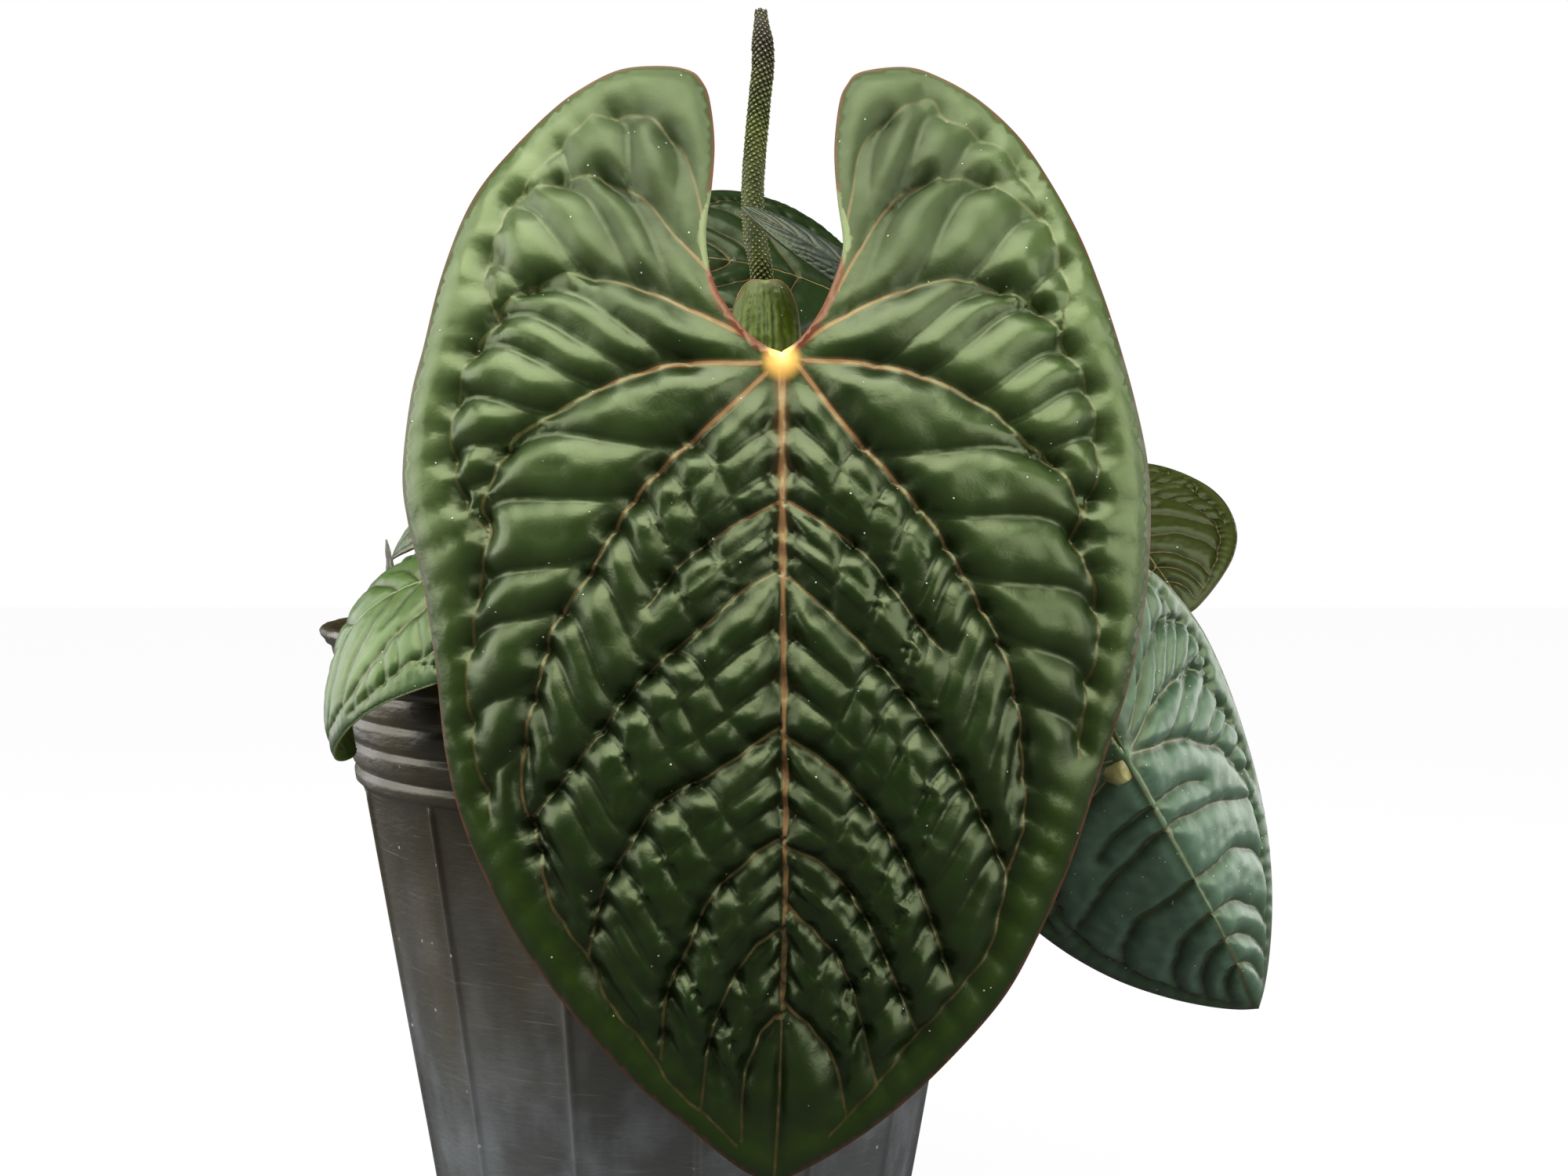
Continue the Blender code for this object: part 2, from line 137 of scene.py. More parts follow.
def calc(tree, operation, a, b=0.0):
    return put(tree, "ShaderNodeMath", {0: a, 1: b}, operation=operation).outputs[0]


def times(tree, a, b):
    return calc(tree, "MULTIPLY", a, b)


def vector(tree, operation, a, b=(0, 0, 0)):
    second = "Scale" if operation == "SCALE" else 1
    return put(tree, "ShaderNodeVectorMath", {0: a, second: b}, operation=operation).outputs[0]


def mix(tree, amount, a, b, how="MIX"):
    node = put(tree, "ShaderNodeMix", {0: amount, 6: a, 7: b}, data_type="RGBA", blend_type=how)
    return node.outputs[2]


def tinted(tree, amount, color, tint):
    """Multiply a colour by a tint, as far as the amount says."""
    return mix(tree, amount, color, mix(tree, 1.0, color, tint, "MULTIPLY"))


def span(tree, value, low, high, to_low=0.0, to_high=1.0):
    """Stretch a range of values smoothly onto another."""
    return put(tree, "ShaderNodeMapRange", {0: value, 1: low, 2: high, 3: to_low, 4: to_high},
               interpolation_type="SMOOTHSTEP").outputs[0]


def mark(tree, name):
    """Read a number that the mesh carries at each point."""
    return put(tree, "ShaderNodeAttribute", attribute_name=name).outputs["Fac"]


def place_of(tree, stretch=(1, 1, 1)):
    """Object coordinates, stretched, for a pattern that stays with the piece."""
    where = put(tree, "ShaderNodeTexCoord").outputs["Object"]
    return put(tree, "ShaderNodeMapping", {"Vector": where, "Scale": stretch}).outputs[0]


def cloud(tree, where, scale, detail=3.0, rough=0.55):
    return put(tree, "ShaderNodeTexNoise", {"Vector": where, "Scale": scale, "Detail": detail,
                                            "Roughness": rough}).outputs["Fac"]


def rgb(r, g, b):
    return (r, g, b, 1)


def height_of(tree):
    return put(tree, "ShaderNodeSeparateXYZ", {0: place_of(tree)}).outputs[2]


# %% [markdown]
# ## Shared effects
# Three effects come up on many pieces, so each is a node group with its own inputs. Mottling
# shifts a colour slightly from place to place, as in anything grown or moulded. Specks are the
# fine dust and lint that settle on a plant. Streaks run along fibres, bark and scratched plastic.


# %% Make the shared groups
def group(name, inputs, outputs):
    """A shader group with its sockets, and its input and output nodes."""
    tree = bpy.data.node_groups.new(name, "ShaderNodeTree")
    kinds = {"c": "NodeSocketColor", "f": "NodeSocketFloat"}
    for label, kind, value in inputs:
        socket = tree.interface.new_socket(label, in_out="INPUT", socket_type=kinds[kind])
        socket.default_value = value
    for label, kind in outputs:
        tree.interface.new_socket(label, in_out="OUTPUT", socket_type=kinds[kind])
    return tree, put(tree, "NodeGroupInput").outputs, put(tree, "NodeGroupOutput").inputs


def use(tree, name, **values):
    """Place a group in a material and set its inputs."""
    node = put(tree, "ShaderNodeGroup", node_tree=bpy.data.node_groups[name])
    for key, value in values.items():
        socket = node.inputs[key.replace("_", " ")]
        if isinstance(value, bpy.types.NodeSocket):
            tree.links.new(value, socket)
        else:
            socket.default_value = value
    return node.outputs


def send(tree, out, mask, a, b):
    """Send out a mask, and two colours mixed by it."""
    tree.links.new(mask, out["Mask"])
    tree.links.new(mix(tree, mask, a, b), out["Color"])


tree, given, out = group("mottle", [("Color A", "c", rgb(0, 0, 0)), ("Color B", "c", rgb(1, 1, 1)),
                                    ("Scale", "f", 40.0), ("Spread", "f", 0.2)],
                         [("Color", "c"), ("Mask", "f")])
soft = cloud(tree, place_of(tree), given["Scale"], 5.0)
low = calc(tree, "SUBTRACT", 0.5, given["Spread"])
high = calc(tree, "ADD", 0.5, given["Spread"])
send(tree, out, span(tree, soft, low, high), given["Color A"], given["Color B"])

tree, given, out = group("specks", [("Color", "c", rgb(0, 0, 0)), ("Speck", "c", rgb(1, 1, 1)),
                                    ("Scale", "f", 500.0), ("Amount", "f", 0.1)],
                         [("Color", "c"), ("Mask", "f")])
cells = put(tree, "ShaderNodeTexVoronoi", {"Vector": place_of(tree), "Scale": given["Scale"],
                                           "Randomness": 1.0})
keep_few = calc(tree, "LESS_THAN", put(tree, "ShaderNodeSeparateColor", {
    0: cells.outputs["Color"]}).outputs[0], given["Amount"])
dot = span(tree, cells.outputs["Distance"], 0.08, 0.2, 1.0, 0.0)
send(tree, out, times(tree, dot, keep_few), given["Color"], given["Speck"])

tree, given, out = group("streaks", [("Color A", "c", rgb(0, 0, 0)),
                                     ("Color B", "c", rgb(1, 1, 1)), ("Across", "f", 900.0),
                                     ("Upright", "f", 60.0), ("Low", "f", 0.4),
                                     ("High", "f", 0.6)], [("Color", "c"), ("Mask", "f")])
parts = put(tree, "ShaderNodeSeparateXYZ", {0: place_of(tree)}).outputs
along = put(tree, "ShaderNodeCombineXYZ", {
    k: times(tree, parts[k], given[way])
    for k, way in enumerate(("Across", "Across", "Upright"))}).outputs[0]
mask = span(tree, cloud(tree, along, 1.0, 4.0), given["Low"], given["High"])
send(tree, out, mask, given["Color A"], given["Color B"])
print("shared groups:", sorted(g.name for g in bpy.data.node_groups))


# %% Make a finish
def finish(name, color, roughness, height=None, bump=0.0002, **fixed):
    """A material. color, roughness and height are given the tree and make what they need."""
    mat = bpy.data.materials.new(name)
    mat.use_nodes = True
    tree = mat.node_tree
    surface = tree.nodes["Principled BSDF"].inputs
    tree.links.new(color(tree), surface["Base Color"])
    if callable(roughness):
        tree.links.new(roughness(tree), surface["Roughness"])
    else:
        surface["Roughness"].default_value = roughness
    if height:
        dents = put(tree, "ShaderNodeBump", {"Strength": 1.0, "Distance": bump,
                                             "Height": height(tree)})
        tree.links.new(dents.outputs[0], surface["Normal"])
    for key, value in fixed.items():
        surface[key.replace("_", " ")].default_value = value
    return mat


def cloudy(low, high, scale):
    """A roughness that varies between two values."""
    return lambda tree: span(tree, cloud(tree, place_of(tree), scale), 0.3, 0.7, low, high)


def grain(scale, detail, stretch=(1, 1, 1)):
    """A height that goes up and down as noise does."""
    return lambda tree: cloud(tree, place_of(tree, stretch), scale, detail)


def painted(effect, a, b, **more):
    """A colour made by a shared effect from two colours."""
    return lambda tree: use(tree, effect, Color_A=rgb(*a), Color_B=rgb(*b), **more)[0]


def fibres(across, upright):
    """A height in streaks."""
    return lambda tree: use(tree, "streaks", Across=across, Upright=upright)[1]


floor_white = finish("floor_white", painted("mottle", (0.7, 0.7, 0.69), (0.74, 0.74, 0.73),
                                            Scale=3.0), 0.9)
tree = floor_white.node_tree
glow = put(tree, "ShaderNodeEmission", {"Color": rgb(1, 1, 1), "Strength": 1.0})
pale = put(tree, "ShaderNodeMixShader", {0: 0.97, 1: tree.nodes["Principled BSDF"].outputs[0],
                                         2: glow.outputs[0]})
dull = put(tree, "ShaderNodeBsdfDiffuse", {"Color": rgb(0.08, 0.08, 0.08)})
seen = put(tree, "ShaderNodeLightPath").outputs["Is Camera Ray"]
shown = put(tree, "ShaderNodeMixShader", {0: seen, 1: dull.outputs[0], 2: pale.outputs[0]})
tree.links.new(shown.outputs[0], tree.nodes["Material Output"].inputs["Surface"])
bpy.ops.mesh.primitive_plane_add(size=6, location=(0, 0, -0.0004))
floor = bpy.context.object
floor.name = "floor"
floor.data.materials.append(floor_white)


# %% [markdown]
# ## Helpers for shapes
# Most of the plant is either a line with a thickness or a sheet with an outline. Both start from
# a few given points with a smooth curve through them.


# %% Curves, meshes and tubes
def unit(v):
    v = np.asarray(v, float)
    return v / np.linalg.norm(v)


def heading(degrees):
    """The level direction at an angle round the pot's axis."""
    return np.array([math.cos(math.radians(degrees)), math.sin(math.radians(degrees)), 0])


def drop(*objects):
    for obj in objects:
        bpy.data.objects.remove(obj, do_unlink=True)


def spot(x, y, up):
    """A place in plan, and above the pot's lip."""
    return np.array([x, y, POT_H + up], float)


def curve(points, step):
    """A smooth curve through the points, cut into equal lengths of about one step."""
    p = np.asarray(points, float)
    ext = np.vstack([2 * p[0] - p[1], p, 2 * p[-1] - p[-2]])
    t = np.linspace(0, 1, 16, endpoint=False)[:, None]
    parts = []
    for a, b, c, d in zip(ext, ext[1:], ext[2:], ext[3:]):
        parts.append(0.5 * (2 * b + (c - a) * t + (2 * a - 5 * b + 4 * c - d) * t * t
                            + (3 * b - a - 3 * c + d) * t ** 3))
    fine = np.vstack(parts + [p[-1:]])
    run = np.append(0, np.cumsum(np.linalg.norm(np.diff(fine, axis=0), axis=1)))
    stops = np.linspace(0, run[-1], max(2, round(run[-1] / step)) + 1)
    return np.stack([np.interp(stops, run, fine[:, k]) for k in range(fine.shape[1])], axis=1)


def piece(name, verts, faces, mat, **marks):
    """A smooth-shaded mesh in millimetres, with numbers at its points for the material."""
    mesh = bpy.data.meshes.new(name)
    mesh.from_pydata((np.asarray(verts, float) * MM).tolist(), [], faces)
    mesh.materials.append(mat)
    mesh.shade_smooth()
    for key, values in marks.items():
        mesh.attributes.new(key, "FLOAT", "POINT").data.foreach_set(
            "value", np.asarray(values, np.float32))
    return add(name, mesh)


def ring_faces(m, n):
    """Quads between m rings of n points, and a fan onto one more point at each end."""
    fans = [[n * m, (j + 1) % n, j] for j in range(n)]
    fans += [[n * m + 1, (m - 1) * n + j, (m - 1) * n + (j + 1) % n] for j in range(n)]
    return [[i * n + j, i * n + (j + 1) % n, (i + 1) * n + (j + 1) % n, (i + 1) * n + j]
            for i in range(m - 1) for j in range(n)] + fans


def keep(obj, slot, *nodes):
    """Tie a finished piece to the frame."""
    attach(obj, "root")
    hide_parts(*nodes)
    obj.data.calc_loop_triangles()
    print(f"{obj.name}: {len(obj.data.loop_triangles)} triangles for {', '.join(nodes)}")


def tube(name, path, radii, mat, sides=24, rough=0.0, ends=(None, None)):
    """A closed round bar. rough pushes its skin in and out a little."""
    path = np.asarray(path)
    at = np.linspace(0, 1, len(path))
    radius = np.interp(at, np.linspace(0, 1, len(radii)), radii)
    ahead = np.gradient(path, axis=0)
    for i, way in zip((0, -1), ends):
        if way is not None:
            ahead[i] = way
    side = unit(np.cross(ahead[0], (0.3, 0.2, 1)))
    verts, along = [], []
    for p, r, d, t in zip(path, radius, ahead, at):
        d = unit(d)
        side = unit(side - d * np.dot(side, d))
        up = np.cross(d, side)
        for j in range(sides):
            a = 2 * math.pi * j / sides
            way = math.cos(a) * side + math.sin(a) * up
            dent = rough * noise.noise(Vector((p + r * way) * 0.35)) if rough else 0
            verts.append(p + (r + dent) * way)
            along.append(t)
    verts += [path[0], path[-1]]
    along += [0, 1]
    return piece(name, verts, ring_faces(len(path), sides), mat, along=along)


# %% [markdown]
# ## The veins of a leaf
# The character of this plant is its quilting. From the joint, five strong ribs run out into each
# half, curve towards the tip and join into one vein that follows the margin. The midrib sends
# off its own laterals. Between neighbours, finer veins cross on a slant, and the blade bulges
# between them like a padded cloth. So the veins are drawn first, in the flat: the ribs are
# given one by one, and a rule adds the cross veins, each of which lands further along the next
# rib than it left its own. The other leaves are scaled copies of the same pattern.

# %% Ribs of the large leaf
LENGTH, HALF = 153.0, 70.4  # joint to tip, and half the width
OUTLINE_LEFT = [
    (0, 0.9), (-3.2, 2.6), (-6.8, 5.5), (-9.7, 9.2), (-11.9, 12.8), (-13.4, 17.2), (-14.1, 23),
    (-13.8, 27.3), (-13.1, 31.7), (-12.5, 40.4), (-13.4, 48.4), (-14.8, 51.8), (-17, 53.8),
    (-22.1, 54.7), (-30.1, 54), (-37.4, 50.4), (-43.2, 46), (-50.5, 38.7), (-55.9, 32.2),
    (-59.8, 25), (-63.6, 14.3), (-66.5, 2.6), (-68.9, -7), (-70.4, -20.7), (-69.4, -30),
    (-66.5, -42), (-64.2, -57), (-62.4, -73), (-59.2, -86), (-54.1, -98), (-48.6, -108),
    (-40.3, -119.6), (-28.7, -132.7), (-18.5, -141.4), (-8.3, -149.6), (-1.5, -153)]
OUTLINE_RIGHT = [
    (0, 0.9), (3.3, 3.8), (6.3, 7.7), (8.6, 12.1), (10.9, 18.6), (11.3, 23), (10.3, 30.3),
    (9.7, 39), (10.6, 47.7), (12.1, 51.3), (14.7, 53.6), (23, 54.5), (29.5, 52.5), (36.8, 48.2),
    (44.1, 41.4), (49.9, 33), (55, 23.7), (58.6, 15), (62.3, 4.1), (65.9, -9), (68.1, -21),
    (68.3, -35.2), (66.7, -49.7), (63.8, -62), (60.6, -71.6), (57.6, -81), (53.5, -93.4),
    (47.7, -106.5), (40.9, -118.6), (29.9, -131), (19.3, -140.5), (9.2, -147.4), (-1.5, -153)]
MIDRIB = [(0, -1.7), (0.2, -40), (0.6, -85), (0.3, -112), (-0.6, -135), (-1.5, -152)]
# each half: five ribs from the notch round to the tip, the laterals of the midrib, and the
# links of the margin vein from each rib's end to the next
LEFT = {
    "ribs": [
        [(-14, 18.5), (-15, 28), (-18, 38.5), (-21.5, 42.5), (-25, 45.5), (-30, 46), (-35, 45.5)],
        [(-13.5, 16.5), (-20, 23.5), (-25.5, 30), (-32.5, 34), (-36, 34.5), (-43.5, 33),
         (-50.5, 29.5), (-52, 25)],
        [(-7.5, 5), (-17, 9.5), (-26.5, 13.5), (-36, 15.5), (-40.5, 16), (-47.5, 13.5),
         (-52, 10), (-53, 7.5)],
        [(-4.5, -0.5), (-18.5, -0.5), (-25.5, -2), (-34.5, -5.5), (-44.5, -11), (-50.5, -15),
         (-55, -24.5), (-56, -28), (-54.5, -32.5), (-56.5, -41), (-57.5, -49.5), (-58.5, -60),
         (-57, -73), (-54, -84.5)],
        [(-3, -2.5), (-14, -12.5), (-21.5, -19), (-28.5, -27), (-36.5, -40.5), (-42.5, -49.5),
         (-45, -58.5), (-47.5, -68.5), (-48.5, -79), (-46, -89), (-43, -100.5), (-36.5, -110.5),
         (-32.5, -119), (-25.5, -127), (-20, -135), (-12.5, -141.5), (-8.5, -145.5)]],
    "laterals": [
        [(-1, -26.5), (-9.5, -31), (-18.5, -37.5), (-25, -45.5)],
        [(-0.5, -39), (-7.5, -43), (-14, -49), (-21.5, -55), (-28.5, -62), (-36.5, -72.5),
         (-41.5, -79), (-47, -85.5)],
        [(0, -68), (-7, -73), (-14, -77.5), (-23, -82.5), (-28.5, -90.5), (-33.5, -99),
         (-36, -110.5)],
        [(0.5, -88.5), (-5.5, -92.5), (-13.5, -100.5), (-17.5, -109.5), (-21.5, -118),
         (-22.5, -129.5)],
        [(0.5, -105), (-5.5, -110), (-10.5, -118), (-13.5, -127), (-15, -138.5)],
        [(0, -121), (-4, -126), (-7, -134), (-7.5, -144.5)]],
    "links": [[(-41, 40), (-47, 33), (-52, 25)], [(-55, 17), (-53, 7.5)],
              [(-57, 2.5), (-60, -6), (-61.5, -15), (-59, -26.5), (-54.5, -32.5)]]}
RIGHT = {
    "ribs": [
        [(11.5, 23), (13, 30.5), (14.5, 39), (18, 44), (24.5, 48), (28, 48.5), (30.5, 45)],
        [(10.5, 13.5), (15, 21.5), (19.5, 28.5), (24.5, 33), (31.5, 34), (39, 33), (44, 29.5),
         (49, 26), (50.5, 22.5)],
        [(2.5, 2.5), (12, 8.5), (22.5, 13), (31.5, 15), (40.5, 13.5), (47.5, 10), (51.5, 5.5),
         (52, 3.5)],
        [(4.5, 0), (15, -0.5), (26.5, -3), (38.5, -9), (45.5, -15), (51.5, -20), (55.5, -27),
         (55, -34), (58, -41.5), (59, -47), (58.5, -54), (56.5, -63), (55.5, -73)],
        [(3.5, -1.5), (12, -12.5), (21, -22), (29.5, -32.5), (37, -45.5), (40.5, -52),
         (44, -64.5), (45, -74.5), (45, -86), (42, -95.5), (39, -108), (35.5, -113.5),
         (26.5, -124), (18, -134), (9, -143.5)]],
    "laterals": [
        [(1, -26), (7.5, -30), (15.5, -36), (20, -41.5), (24.5, -47.5), (29.5, -53.5)],
        [(1.5, -40.5), (9, -47), (18.5, -56.5), (27.5, -68), (34.5, -79), (42, -95)],
        [(1, -70), (10, -76.5), (19.5, -87.5), (26, -99), (31.5, -115)],
        [(1, -90.5), (9, -95), (17, -106.5), (25, -124.5)],
        [(1, -101.5), (11.5, -113.5), (17.5, -134)],
        [(0.5, -119.5), (9, -129), (12, -140)]],
    "links": [[(38, 41), (44.5, 35), (50.5, 22.5)], [(53, 14), (52, 5)],
              [(56.5, -4), (58.5, -14), (58, -24), (55.5, -30)]]}


# %% Cross veins and margin veins
def tail(path, point):
    """What is left of a path after the place nearest to a point."""
    fine = curve(path, 1.0)
    first = int(np.linalg.norm(fine - np.asarray(point), axis=1).argmin())
    return [tuple(p) for p in fine[first + 2::6]]


def crossing(inner, outer, first, shift, pitch, rng):
    """Veins that leave one rib and land further along the next."""
    a, b = curve(inner, 0.5), curve(outer, 0.5)
    da, db = np.gradient(a, axis=0) * 2, np.gradient(b, axis=0) * 2
    t, found = first, []
    while t < min(len(a) / 2 - 1, len(b) / 2 - shift - 1):
        i, j = int(t * 2), int((t + shift + rng.uniform(-1, 1)) * 2)
        p, q = a[i], b[min(j, len(b) - 1)]
        gap = np.linalg.norm(q - p)
        if gap > 3:
            straight = (q - p) / gap
            leave = (straight * 1.25 + da[i] * 0.15) * gap
            land = (straight * 0.55 + db[min(j, len(b) - 1)] * 0.75) * gap
            u = np.linspace(0, 1, 9)[:, None]
            found.append((2 * u ** 3 - 3 * u * u + 1) * p + (u ** 3 - 2 * u * u + u) * leave
                         + (3 * u * u - 2 * u ** 3) * q + (u ** 3 - u * u) * land)
        t += pitch * rng.uniform(0.8, 1.2)
    return found


def between(upper, lower, share):
    """A furrow that runs beside two neighbours for the first two thirds of their way."""
    a, b = (np.array(curve(line, 1.0)) for line in (upper, lower))
    at = np.linspace(0.02, 0.66, 12)
    a, b = (np.stack([np.interp(at, np.linspace(0, 1, len(c)), c[:, k]) for k in (0, 1)], axis=1)
            for c in (a, b))
    return a * (1 - share) + b * share


def to_margin(path, outline, first, pitch, rng):
    """Short veins from the margin vein out to the edge, leaning towards the tip."""
    a, edge = curve(path, 0.5), curve(outline, 0.5)
    ahead = np.gradient(a, axis=0) * 2
    t, found = first, []
    while t < len(a) / 2 - 1:
        p = a[int(t * 2)]
        aim = p + ahead[int(t * 2)] * 2.5
        q = edge[np.linalg.norm(edge - aim, axis=1).argmin()]
        if 3 < np.linalg.norm(q - p) < 16:
            found.append(np.array([p, (p + q) / 2 - ahead[int(t * 2)] * 0.6, q]))
        t += pitch * rng.uniform(0.8, 1.25)
    return found


def half_veins(side, outline, seed):
    """Every vein of one half: (kind, points, half width from and to, depth from and to)."""
    rng = random.Random(seed)
    v, m, links = side["ribs"], side["laterals"], side["links"]
    reach = [v[0] + links[0], v[1] + links[1], v[2] + links[2], v[3], v[4]]
    bold = crossing(v[4], reach[3], 20, 33, 13.0, rng)
    bold += crossing(v[3], reach[2], 13, 29, 9.0, rng)
    bold += crossing(v[2], reach[1], 11, 16, 10.5, rng)
    bold += crossing(v[1], reach[0], 9, 16, 10.5, rng)
    fine = crossing(m[0], v[4], 6, 13, 8.0, rng) + crossing(m[1], m[0], 9, 7, 8.0, rng)
    fine += crossing(m[1], v[4], 30, 20, 8.0, rng)
    for k, shift in ((2, 19), (3, 14), (4, 10), (5, 8)):
        fine += crossing(m[k], m[k - 1] + tail(v[4], m[k - 1][-1]), 6, shift, 7.0, rng)
    fingers = [between(a, b, share) for a, b in zip(m, m[1:]) for share in (0.36, 0.68)]
    fingers += [between(v[4][:6], m[0], share) for share in (0.4, 0.75)]
    chain = reach[0][4:] + reach[1][-1:] + reach[2][-5:] + v[3][9:]
    edge = to_margin(chain, outline, 1, 7.0, rng)
    edge += to_margin(tail(v[4], v[3][-1]), outline, 2, 6.5, rng)
    found = [("rib", line, wide, 0.1, 1.8, 1.4)
             for line, wide in zip(v, (0.2, 0.25, 0.38, 0.42, 0.42))]
    found += [("rib", line, 0.26, 0.1, 2.0, 1.5) for line in m]
    found += [("rib", rib[-1:] + link, 0.1, 0.1, 1.2, 1.0) for rib, link in zip(v, links)]
    for kind, lines, start, end in (("cross", bold, 0.7, 1.9), ("fine", fingers, 1.4, 0.2),
                                    ("fine", fine, 0.6, 1.5), ("edge", edge, 0.7, 0.4)):
        found += [(kind, line, 0.1, 0.1, start, end) for line in lines]
    return found


left_veins = half_veins(LEFT, OUTLINE_LEFT, 3)
right_veins = half_veins(RIGHT, OUTLINE_RIGHT, 8)
middle = [("rib", MIDRIB, 1.0, 0.2, 1.5, 1.3)]
print("veins of the large leaf:", len(left_veins + right_veins + middle))


# %% [markdown]
# ## From veins to a blade
# A blade is a sheet with an outline and a net of veins, so its triangles should follow the
# veins: a crease between two rows of a plain grid would look like a saw. Points are laid along
# every vein and at its sides, an even filling goes between, and a Delaunay triangulation joins
# them. Each point then rises by how far it is from the nearest veins, as a quilt rises between
# its stitches, and only at the end is the sheet laid on the leaf's bent surface.

# %% Fill an outline with points that follow the veins
def inside(pts, loop):
    """Which points lie in a closed outline."""
    ax, ay = loop.T
    bx, by = np.roll(loop, -1, axis=0).T
    found = []
    for part in np.array_split(pts, max(1, len(pts) // 4000)):  # in parts, to save memory
        x, y = part[:, :1], part[:, 1:]
        with np.errstate(divide="ignore", invalid="ignore"):
            at = ax + (y - ay) * (bx - ax) / (by - ay)
        found.append(np.sum(((ay > y) != (by > y)) & (x < at), axis=1) % 2 == 1)
    return np.concatenate(found)


def look_up(places):
    """A search tree over flat places."""
    tree = kdtree.KDTree(len(places))
    for i, (x, y) in enumerate(places):
        tree.insert((x, y, 0), i)
    tree.balance()
    return tree


def nearest(points, samples):
    """Distance to the nearest sample, and which one it is."""
    tree = look_up(samples)
    hits = [tree.find((x, y, 0)) for x, y in points]
    return np.array([h[2] for h in hits]), np.array([h[1] for h in hits])


def thin(groups, cell):
    """Keep points in order, dropping any that crowd one already kept."""
    kept, cells = [], {}
    for points, room in groups:
        limit = room * room
        for x, y in points.tolist():
            i, j = int(x // cell), int(y // cell)
            if not any((px - x) ** 2 + (py - y) ** 2 < limit
                       for a in (-1, 0, 1) for b in (-1, 0, 1)
                       for px, py in cells.get((i + a, j + b), ())):
                kept.append((x, y))
                cells.setdefault((i, j), []).append((x, y))
    return kept


def rows(line, step, offsets):
    """Points along a line and beside it."""
    line = curve(line, step)
    ahead = np.gradient(line, axis=0)
    ahead /= np.linalg.norm(ahead, axis=1)[:, None] + 1e-9
    beside = np.stack([-ahead[:, 1], ahead[:, 0]], axis=1)
    return np.vstack([line + o * beside for o in offsets])


def cells(flat, size):
    """How far each place is from the border of its cell, in a net of uneven cells."""
    rng = random.Random(21)
    lo, hi = flat.min(0) - size, flat.max(0) + size
    tree = look_up([(x + rng.uniform(-0.4, 0.4) * size, y + rng.uniform(-0.4, 0.4) * size)
                    for x in np.arange(lo[0], hi[0], size)
                    for y in np.arange(lo[1], hi[1], size)])
    pairs = [tree.find_n((x, y, 0), 2) for x, y in flat]
    return np.array([b[2] - a[2] for a, b in pairs])


def of_kind(veins, kind):
    """The veins of one kind. Fine ones are laid and pressed in as cross veins are."""
    return [vein for vein in veins if vein[0] == kind or (vein[0], kind) == ("fine", "cross")]


def clip(value):
    return np.clip(value, 0, 1)


def ease(value, low, high):
    t = clip((value - low) / (high - low))
    return t * t * (3 - 2 * t)


# %% Lay a quilted blade on its surface
QUILT = 1.3  # how far the relief rises for the depths that the veins carry
VALLEY, CREASE, PLEAT, WRINKLE = 6.0, 5, 3.4, 3  # how far each kind of dip reaches, in mm


